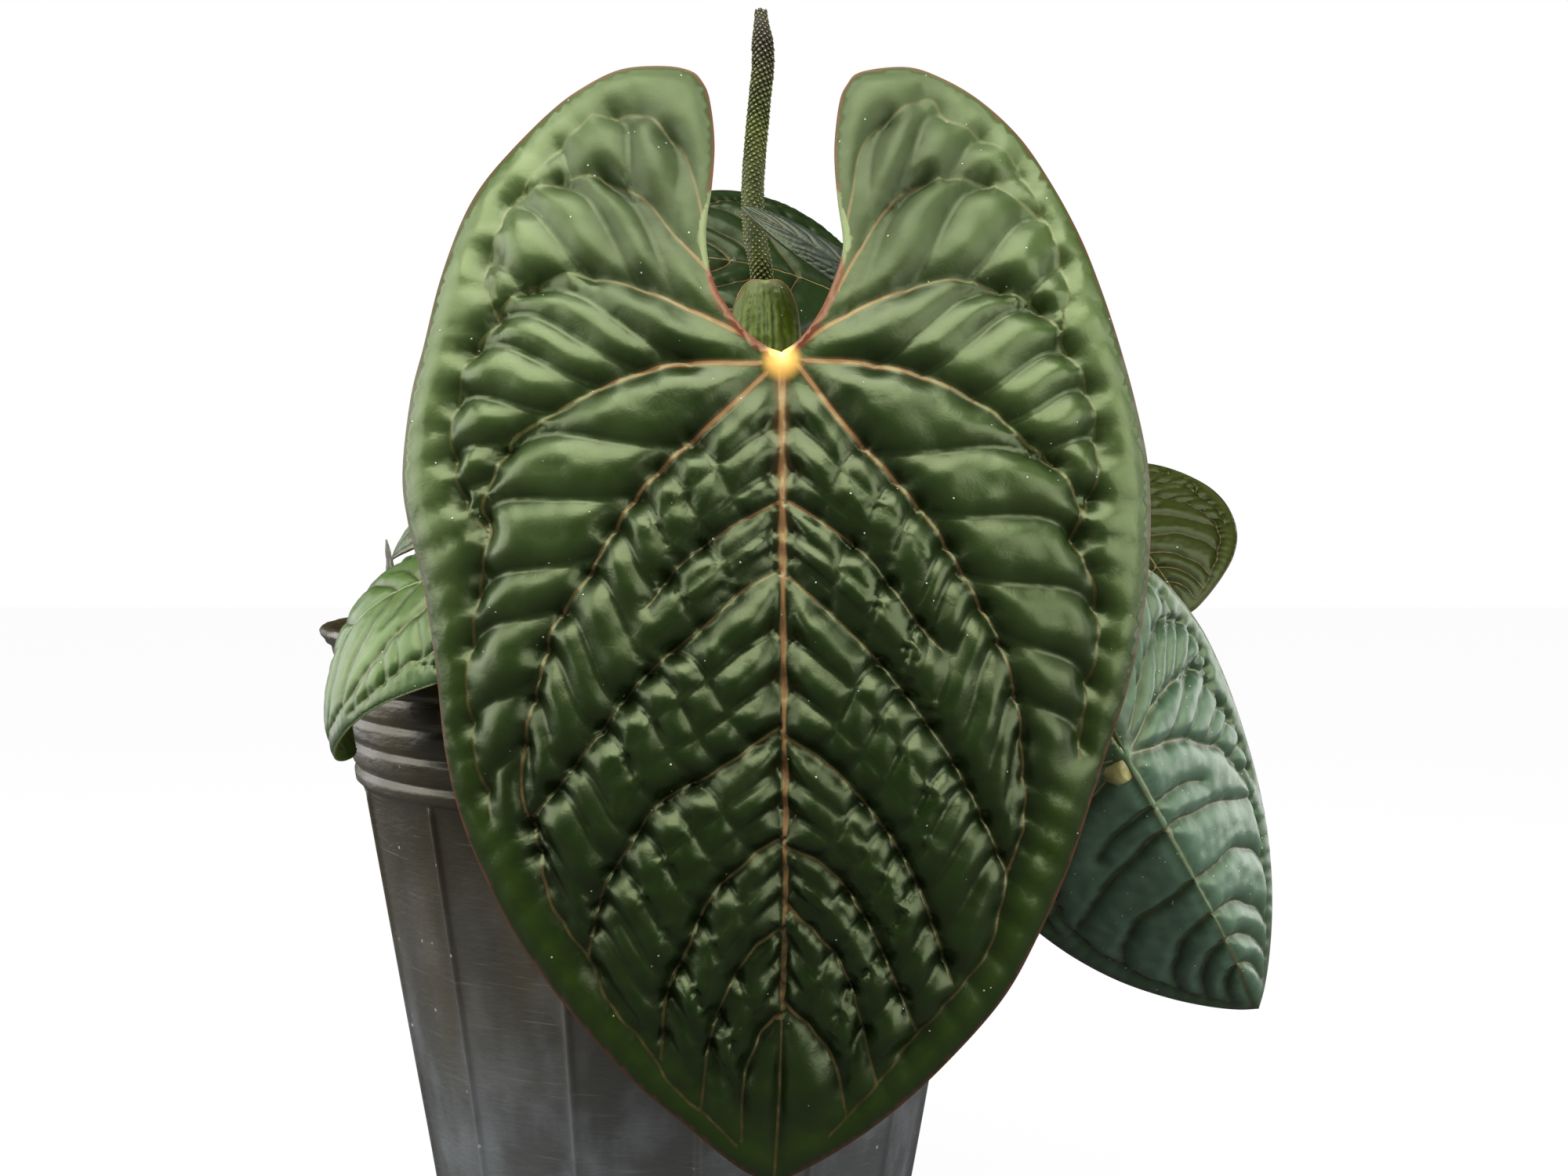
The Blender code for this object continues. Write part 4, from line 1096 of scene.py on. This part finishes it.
# %% One small flower
verts, faces = [(0, 0, 0.34)], []
for ring, (r, z) in enumerate(((0.13, 0.30), (0.17, 0.2), (0.36, 0.26), (0.56, 0.05))):
    for j in range(8):
        a = math.pi / 4 * j
        lobe = 1.0 + (0.12 if j % 2 else -0.08) * (ring > 1)
        verts.append((r * lobe * math.cos(a), r * lobe * math.sin(a), z))
faces += [[0, 1 + j, 1 + (j + 1) % 8] for j in range(8)]
for ring in range(3):
    base = 1 + ring * 8
    faces += [[base + j, base + 8 + j, base + 8 + (j + 1) % 8, base + (j + 1) % 8]
              for j in range(8)]
verts.append((0, 0, -0.05))
faces += [[len(verts) - 1, 25 + (j + 1) % 8, 25 + j] for j in range(8)]
flower = piece("one_flower", verts, faces, spike_olive)
verts = [(0, 0, 0.44)] + [(0.17 * math.cos(a), 0.17 * math.sin(a), z) for z in (0.34, 0.2)
                          for a in np.linspace(0, 2 * math.pi, 6, endpoint=False)] + [(0, 0, 0.1)]
faces = [[0, 1 + j, 1 + (j + 1) % 6] for j in range(6)]
faces += [[1 + j, 7 + j, 7 + (j + 1) % 6, 1 + (j + 1) % 6] for j in range(6)]
faces += [[13, 7 + (j + 1) % 6, 7 + j] for j in range(6)]
stigma = piece("one_tip", verts, faces, flower_tip)
print("one flower:", len(flower.data.polygons), "faces and a tip of", len(faces))


# %% Spiral the flowers up the spike
def grow(name, host, tree, ids, **inputs):
    """Run a Geometry Nodes tree on an object and return the plain mesh it makes."""
    modifier = host.modifiers.new(name, "NODES")
    modifier.node_group = tree
    for label, value in inputs.items():
        modifier[ids[label.replace("_", " ")]] = value
    bpy.context.view_layer.update()
    ready = host.evaluated_get(bpy.context.evaluated_depsgraph_get())
    mesh = bpy.data.meshes.new_from_object(ready)
    mesh.name = name
    host.modifiers.remove(modifier)
    return add(name, mesh)


def geometry_tree(name, inputs):
    """A Geometry Nodes tree with geometry in and out and named inputs."""
    tree = bpy.data.node_groups.new(name, "GeometryNodeTree")
    tree.interface.new_socket("Geometry", in_out="INPUT", socket_type="NodeSocketGeometry")
    sockets = {}
    for label, kind, value in inputs:
        sockets[label] = tree.interface.new_socket(label, in_out="INPUT", socket_type=kind)
        if value is not None:
            sockets[label].default_value = value
    tree.interface.new_socket("Geometry", in_out="OUTPUT", socket_type="NodeSocketGeometry")
    ids = {label: socket.identifier for label, socket in sockets.items()}
    return tree, ids, put(tree, "NodeGroupInput").outputs, put(tree, "NodeGroupOutput").inputs


def set_copies(tree, given, out, values):
    """Put copies on points, make them real, give them their material and send them out."""
    copies = put(tree, "GeometryNodeInstanceOnPoints", values)
    real = put(tree, "GeometryNodeRealizeInstances", {0: copies.outputs[0]})
    done = put(tree, "GeometryNodeSetMaterial", {
        0: real.outputs[0], "Material": given["Material"]})
    tree.links.new(done.outputs[0], out[0])


GOLDEN_ANGLE = math.radians(137.5)
tree, ids, given, out = geometry_tree("flower spiral", [
    ("Count", "NodeSocketInt", 100), ("Radius", "NodeSocketFloat", 0.002),
    ("Tip Radius", "NodeSocketFloat", 0.001), ("Flower", "NodeSocketObject", None),
    ("Material", "NodeSocketMaterial", None)])
line = put(tree, "GeometryNodeMeshToCurve", {0: given["Geometry"]}).outputs[0]
index = put(tree, "GeometryNodeInputIndex").outputs[0]
at = calc(tree, "DIVIDE", index, given["Count"])
sample = put(tree, "GeometryNodeSampleCurve", {"Curves": line, "Factor": at},
             mode="FACTOR", use_all_curves=True)
turn = times(tree, index, GOLDEN_ANGLE)
cross_way = vector(tree, "CROSS_PRODUCT", sample.outputs["Tangent"], (1, 0, 0))
side_way = vector(tree, "CROSS_PRODUCT", cross_way, sample.outputs["Tangent"])
outward = vector(tree, "NORMALIZE", vector(
    tree, "ADD", vector(tree, "SCALE", side_way, calc(tree, "COSINE", turn)),
    vector(tree, "SCALE", cross_way, calc(tree, "SINE", turn))))
radius = span(tree, at, 0.86, 1.0, 1.0, 0.0)
radius = calc(tree, "ADD", given["Tip Radius"], times(tree, radius, calc(
    tree, "SUBTRACT", given["Radius"], given["Tip Radius"])))
where = vector(tree, "ADD", sample.outputs["Position"], vector(tree, "SCALE", outward, radius))
points = put(tree, "GeometryNodePoints", {"Count": given["Count"], "Position": where,
                                          "Radius": 0.001})
shape = put(tree, "GeometryNodeObjectInfo", {"Object": given["Flower"]})
aim = put(tree, "FunctionNodeAlignRotationToVector", {"Vector": outward}, axis="Z")
size = put(tree, "FunctionNodeRandomValue", {2: 0.85, 3: 1.15, "Seed": 4}, data_type="FLOAT")
set_copies(tree, given, out, {
    "Points": points.outputs[0], "Instance": shape.outputs["Geometry"],
    "Rotation": aim.outputs[0], "Scale": size.outputs[1]})
line_mesh = bpy.data.meshes.new("spike_line")
line_mesh.from_pydata((rod * MM).tolist(), [(i, i + 1) for i in range(len(rod) - 1)], [])
line_host = add("spike_line", line_mesh)
spike = []
for name, part, material in (("spadix_flowers", flower, spike_olive),
                             ("spadix_tips", stigma, flower_tip)):
    obj = grow(name, line_host, tree, ids, Count=880, Radius=0.0022, Tip_Radius=0.0011,
               Flower=part, Material=material)
    obj.data.shade_smooth()
    spike.append(obj)
drop(line_host, flower, stigma)
for obj in [core] + spike:
    keep(obj, "spadix_olive", "spadix")

# %% [markdown]
# The spathe is a small leaf without cross veins. Its nerves run side by side from the base to
# the tip, so the same quilting maker is used with a set of long ribs.

# %% Make the spathe
def nerves(half, long, count, depth):
    """Long ribs side by side that follow the outline of a lance-shaped leaf."""
    wide = curve(np.array(LANCE), 0.02)
    found = []
    for share in np.linspace(-0.8, 0.8, count):
        found.append(("rib", [(share * half * np.interp(-y, -wide[:, 1], wide[:, 0]), y * long)
                              for y in np.linspace(-0.01, -0.97, 12)], 0.2, 0.1, depth, depth))
    return found


spathe_green = leaf_finish(
    "spathe_green", 0.3, Deep=rgb(0.075, 0.105, 0.004), Lobe=rgb(0.075, 0.105, 0.004),
    Band=rgb(0.08, 0.09, 0.009), Band_Top=rgb(0.08, 0.09, 0.009), Rib=rgb(0.055, 0.075, 0.012),
    Far_Rib=rgb(0.06, 0.08, 0.015), Margin=rgb(0.3, 0.12, 0.08), Knob=rgb(0.12, 0.15, 0.04),
    Knob_Top=rgb(0.13, 0.16, 0.05), Under=rgb(0.12, 0.16, 0.04), Lint=0.02)


def lance(name, way, nerve_count, depth, material, **how):
    """A nerved sheet on a bent surface that is given as for LEAVES."""
    long, half = way[3:5]
    right = np.array(LANCE) * (half, long)
    return quilted(name, right * (-1, 1), right, bent(*way),
                   nerves(half, long, nerve_count, depth), material, **how)


skirt = ((22.6, -46.6, 76.5), (0.02, -0.5, -0.86), (0.02, -0.86, 0.5), 36, 9.5, 38, 4, 62)
spathe = lance("spathe_nerved", skirt, 9, 0.7, spathe_green, scale=0.3, step=1.4, thick=0.6,
               lift=0.5)
keep(spathe, "spathe_green", "spathe")

# %% [markdown]
# ## Sheaths and the offset bud
# Each new leaf of an anthurium comes out of a papery sheath, which dries to brown fibres and
# stays on the stem. A pointed young bud stands by the wall of the pot.

# %% Make the sheaths and the bud
dry = finish("cataphyll_brown", painted(
    "streaks", (0.1, 0.065, 0.03), (0.3, 0.22, 0.13), Across=1600.0, Upright=110.0), 0.8,
    fibres(2600.0, 120.0), 0.0003)
for k, (az, height, long) in enumerate(((96, 2.5, 30), (40, 1.5, 24)), 1):
    out = heading(az)
    base = out * (STEM_R + 1.6)
    way = ((base[0], base[1], MIX_Z - POT_H + height), out * 0.28 + (0, 0, 1), out, long,
           long * 0.12, -14, 0, 30)
    sheath = lance(f"sheath_{k}", way, 5, 0.8, dry, scale=0.2, step=2.2, thick=0.4, lift=0.4)
    keep(sheath, "cataphyll_brown", f"cataphyll_{k}")
bud_grey = finish("bud_grey", painted(
    "streaks", (0.05, 0.05, 0.04), (0.2, 0.2, 0.17), Across=900.0, Upright=70.0), 0.6,
    fibres(1500.0, 60.0), 0.0003)
base_z = mix_top(68) + 0.2
line = [(-68 - 2.2 * t + 0.5 * math.sin(4 * t), 3 - 3 * t, base_z + 34 * t)
        for t in np.linspace(0, 1, 36)]
bud = tube("offset_bud", line, [3.4, 3.8, 3.7, 3.2, 2.9, 2.4, 1.9, 1.5, 1.1, 0.7, 0.25], bud_grey,
           24, 0.3)
keep(bud, "cataphyll_brown", "offset_shoot")

# %% [markdown]
# ## The pot
# A soft nursery pot is blown in one thin skin: a tapered wall with narrow upright ribs, a ledge,
# a band of rounded hoops, and a rolled lip that is never quite true. It is a profile turned
# about its axis, but its radius also depends on the angle, for the ribs and the slight hollow of
# the panels between them. The columns crowd together at each rib so that it stays crisp.

# %% Shape of the pot
RIM_R, BASE_R, BAND_H, WALL_T = 82.5, 54.0, 35.5, 1.2
SLOPE = (RIM_R - BASE_R - 1.5) / POT_H
FOOT = POT_H - BAND_H
PITCH = (BAND_H - 5) / 5
RIB_START, RIB_STEP = -106, 24  # degrees
azimuths = np.radians(sorted(RIB_START + RIB_STEP * k + d for k in range(15) for d in (
    -1.5, -1.0, -0.7, -0.4, 0, 0.4, 0.7, 1.0, 1.5, 3, 5, 7, 9, 10.5, 12, 13.5, 15, 17, 19, 21)))


def pot_skin(r, z, az, hoop=False, rib=0.0, loose=1.0):
    """The skin's radius and height at one place."""
    x, y = r * math.cos(az), r * math.sin(az)
    r += 0.3 * loose * noise.noise(Vector((x, y, z * 0.6)) * 0.035)
    if hoop:
        share = ((z - FOOT) / PITCH) % 1
        r += 1.1 - 0.85 * math.exp(-((share - 0.55) / 0.13) ** 2)
        r += 0.12 * noise.noise(Vector((x, y, z * 3)) * 0.12)
    if rib:
        turn = (math.degrees(az) - RIB_START + RIB_STEP / 2) % RIB_STEP - RIB_STEP / 2
        arc_mm = math.radians(turn) * r
        r += rib * (0.85 * math.exp(-(arc_mm / 0.75) ** 2) - 0.22 * (1 + math.cos(
            math.radians(turn * 360 / RIB_STEP + 180))))
    return r, z


rows_of_pot = [(BASE_R * k, 0, {}) for k in (0.3, 0.45, 0.6, 0.8, 0.92)]
rows_of_pot += [(BASE_R - 2.5, 0, {}), (BASE_R - 1.2, 0.2, {}), (BASE_R - 0.4, 0.9, {}),
                (BASE_R + SLOPE * 2, 2.2, {})]
for z in np.arange(4, FOOT - 1.5, 2.5):
    rows_of_pot.append((BASE_R + SLOPE * z, z, {"rib": min(1, (z - 2) / 8)}))
rows_of_pot += [(BASE_R + SLOPE * FOOT, FOOT - 1.2, {"rib": 0.6}),
                (BASE_R + SLOPE * FOOT + 0.25, FOOT - 0.6, {}),
                (BASE_R + SLOPE * FOOT + 0.8, FOOT - 0.3, {})]
for z in np.arange(FOOT, POT_H - 4, 0.5):
    rows_of_pot.append((BASE_R + SLOPE * z, z, {"hoop": True}))
rows_of_pot += [(RIM_R + out, POT_H - down, {"loose": 2}) for out, down in (
    (0.1, 3.6), (0.5, 2.8), (1.2, 2), (1.4, 1.2), (1.1, 0.4), (0.4, 0), (-0.6, 0.1), (-1.4, 0.6),
    (-1.9, 2.2))]
for z in np.arange(POT_H - 4, WALL_T + 4, -4.0):
    rows_of_pot.append((BASE_R + SLOPE * z - WALL_T, z, {}))
rows_of_pot += [(BASE_R - WALL_T, WALL_T + 1, {}), (BASE_R - 2.4, WALL_T, {})]
rows_of_pot += [(BASE_R * k, WALL_T, {}) for k in (0.85, 0.7, 0.5, 0.3)]

verts = []
for r, z, how in rows_of_pot:
    for az in azimuths:
        lip = how.get("loose", 1) == 2
        rr, zz = pot_skin(r, z, az, **how) if z > 3 else (r, z)
        if lip:
            zz += 0.25 * noise.noise(Vector((math.cos(az) * 9, math.sin(az) * 9, 2)))
            rr += 0.3 * noise.noise(Vector((math.cos(az) * 14, math.sin(az) * 14, z)))
        verts.append((rr * math.cos(az), rr * math.sin(az), zz))
verts += [(0, 0, 0), (0, 0, WALL_T)]
faces = ring_faces(len(rows_of_pot), len(azimuths))
print("rows round the pot:", len(rows_of_pot))

# %% [markdown]
# The plastic is black with a satin shine. Its colour carries a painted warm reflection on the
# upper wall, a painted pale blue-grey reflection lower down, and fine scratches round it from
# being stacked.

# %% Finish of the pot, and its drain holes
def pot_color(tree):
    high = height_of(tree)
    black = use(tree, "mottle", Color_A=rgb(0.01, 0.0095, 0.008), Color_B=rgb(0.025, 0.023, 0.019),
                Scale=30.0)[0]
    # Painted warm reflection: a warm brown in clouds over the upper wall.
    warm_reflection = times(tree, span(tree, high, 0.03, 0.085), span(
        tree, cloud(tree, place_of(tree, (1, 1, 0.5)), 45, 5), 0.35, 0.7, 0.25, 1.0))
    dust_and_reflection = mix(tree, times(tree, warm_reflection, 0.85), black, rgb(0.045, 0.031, 0.008))
    # Painted reflection: a pale blue-grey in clouds towards the bottom.
    marks = times(tree, span(tree, high, 0.12, 0.02), span(
        tree, cloud(tree, place_of(tree, (1, 1, 0.6)), 70, 6), 0.4, 0.7, 0.35, 0.85))
    blue_grey_reflection = mix(tree, marks, dust_and_reflection, rgb(0.14, 0.15, 0.165))
    scratch = use(tree, "streaks", Across=60.0, Upright=2600.0, Low=0.62, High=0.72)[1]
    scratched = mix(tree, times(tree, scratch, 0.3), blue_grey_reflection, rgb(0.2, 0.19, 0.17))
    return use(tree, "specks", Color=scratched, Speck=rgb(0.3, 0.28, 0.23), Scale=380.0,
               Amount=0.04)[0]


pot_plastic = finish("pot_plastic", pot_color, lambda tree: calc(
    tree, "ADD", span(tree, cloud(tree, place_of(tree), 60, 5), 0.3, 0.7, 0.26, 0.4),
    times(tree, use(tree, "streaks", Across=60.0, Upright=2600.0, Low=0.6, High=0.75)[1], 0.2)),
    grain(260, 5, (1, 1, 3)), 0.00015,
    Specular_Tint=rgb(1, 0.92, 0.68), Specular_IOR_Level=0.32)
pot = piece("pot_shell", verts, faces, pot_plastic)
HOLES, HOLE_R = 8, 4.5
holes = []
for k in range(HOLES):
    centre = 0.7 * BASE_R * heading(360 * (k + 0.5) / HOLES)
    holes.append(tube("drain", [centre + (0, 0, -2), centre + (0, 0, WALL_T + 2)],
                      [HOLE_R, HOLE_R], pot_plastic, 28))
for hole in holes:
    cut = pot.modifiers.new("drain", "BOOLEAN")
    cut.operation, cut.solver, cut.object = "DIFFERENCE", "EXACT", hole
bpy.context.view_layer.update()
pierced = bpy.data.meshes.new_from_object(pot.evaluated_get(
    bpy.context.evaluated_depsgraph_get()))
pot.modifiers.clear()
pot.data = pierced
drop(*holes)
keep(pot, "pot_plastic", "pot")

# %% [markdown]
# ## The potting mix
# Chunky bark with white perlite. The ground is a lumpy disc, and the chips are what makes it
# look right: Geometry Nodes scatter a few chip shapes over it, each with its own turn and size.

# %% Make the ground
bark = finish("bark_mix", lambda tree: mix(
    tree, span(tree, cloud(tree, place_of(tree), 160, 5), 0.45, 0.65),
    use(tree, "mottle", Color_A=rgb(0.035, 0.02, 0.012), Color_B=rgb(0.12, 0.07, 0.038),
        Scale=120.0)[0], rgb(0.2, 0.13, 0.075)), 0.9, grain(1100, 6), 0.0006)
perlite = finish("perlite_white", painted("mottle", (0.5, 0.48, 0.43), (0.8, 0.79, 0.75),
                                          Scale=400.0), 0.85, grain(2200, 4), 0.0004)
n = 144  # points in each ring
rings = [((MIX_R - 0.3) * k, None) for k in (1, 0.98, 0.95)]
rings += [(r, None) for r in np.arange(69, 1, -1.6)]
low_rows = [(BASE_R - 4.4, 1.6), (BASE_R - 0.5, 5), (BASE_R + SLOPE * 66 - 1.7, 66),
            (BASE_R + SLOPE * 126 - 1.7, 126)]
verts = []
for r, z in low_rows + rings:
    for j in range(n):
        a = 2 * math.pi * j / n
        x, y = r * math.cos(a), r * math.sin(a)
        if z is None:
            lump = (1.5 * noise.noise(Vector((x, y, 0)) / 7) + 0.7 * noise.noise(
                Vector((x, y, 4)) / 2.5))
            verts.append((x, y, mix_top(r) - 0.6 + lump))
        else:
            verts.append((x, y, z))
verts += [(0, 0, 1.6), (0, 0, mix_top(0))]
ground = piece("mix_ground", verts, ring_faces(len(low_rows) + len(rings), n), bark)
keep(ground, "bark_mix", "potting_mix")


# %% Chip shapes
def chips(name, shapes, material, seed):
    """A hidden collection of lumpy shapes, each a pressed and dented ball of 80 faces."""
    held = bpy.data.collections.new(name)
    for k, (long, wide, thick) in enumerate(shapes):
        bpy.ops.mesh.primitive_ico_sphere_add(subdivisions=2, radius=0.5)
        obj = bpy.context.object
        obj.name = f"{name}_{k}"
        for v in obj.data.vertices:
            dent = 1 + 0.45 * noise.noise(v.co * 2.4 + Vector((k, seed, 0)))
            flatter = Vector([math.copysign(abs(c * 2) ** 0.6 / 2, c) for c in v.co])
            v.co = Vector((flatter.x * long, flatter.y * wide, flatter.z * thick)) * dent * MM
        obj.data.materials.append(material)
        for owner in list(obj.users_collection):
            owner.objects.unlink(obj)
        held.objects.link(obj)
    return held


bark_chips = chips("bark_chip", [(9, 5, 2.4), (7, 6, 2), (12, 4, 2), (6, 4, 3), (8, 7, 1.6)],
                   bark, 1)
white_chips = chips("perlite_chip", [(3, 2.6, 2.2), (2.2, 2, 2), (3.6, 2.8, 2)], perlite, 7)

# %% Scatter the chips
tree, ids, given, out = geometry_tree("chip scatter", [
    ("Density", "NodeSocketFloat", 50000.0), ("Seed", "NodeSocketInt", 1),
    ("Tilt", "NodeSocketFloat", 0.4), ("Chips", "NodeSocketCollection", None),
    ("Material", "NodeSocketMaterial", None)])
spots = put(tree, "GeometryNodeDistributePointsOnFaces", {
    "Mesh": given["Geometry"], "Density": given["Density"], "Seed": given["Seed"]})
shapes = put(tree, "GeometryNodeCollectionInfo", {
    "Collection": given["Chips"], "Separate Children": True, "Reset Children": True})
lean = calc(tree, "MULTIPLY", given["Tilt"], -1.0)
low_turn = put(tree, "ShaderNodeCombineXYZ", {0: lean, 1: lean, 2: 0.0}).outputs[0]
high_turn = put(tree, "ShaderNodeCombineXYZ", {0: given["Tilt"], 1: given["Tilt"],
                                               2: 2 * math.pi}).outputs[0]
turn = put(tree, "FunctionNodeRandomValue", {0: low_turn, 1: high_turn, "Seed": given["Seed"]},
           data_type="FLOAT_VECTOR")
size = put(tree, "FunctionNodeRandomValue", {2: 0.6, 3: 1.25, "Seed": 11}, data_type="FLOAT")
set_copies(tree, given, out, {
    "Points": spots.outputs["Points"], "Instance": shapes.outputs[0], "Pick Instance": True,
    "Rotation": turn.outputs[0], "Scale": size.outputs[1]})

n = 48  # points in each ring of the bed that the chips lie on
verts = [(r * math.cos(a), r * math.sin(a), mix_top(r) + 0.5) for r in (11, 30, 50, 69)
         for a in np.linspace(0, 2 * math.pi, n, endpoint=False)]
faces = [[i * n + j, (i + 1) * n + j, (i + 1) * n + (j + 1) % n, i * n + (j + 1) % n]
         for i in range(3) for j in range(n)]
bed = piece("chip_bed", verts, faces, bark)
for name, held, material, density, tilt, seed in (
        ("bark_chips", bark_chips, bark, 62000.0, 0.5, 5),
        ("perlite_chips", white_chips, perlite, 11000.0, 1.5, 9)):
    obj = grow(name, bed, tree, ids, Density=density, Seed=seed, Tilt=tilt, Chips=held,
               Material=material)
    keep(obj, "bark_mix", "potting_mix")
drop(bed, *bark_chips.objects, *white_chips.objects)
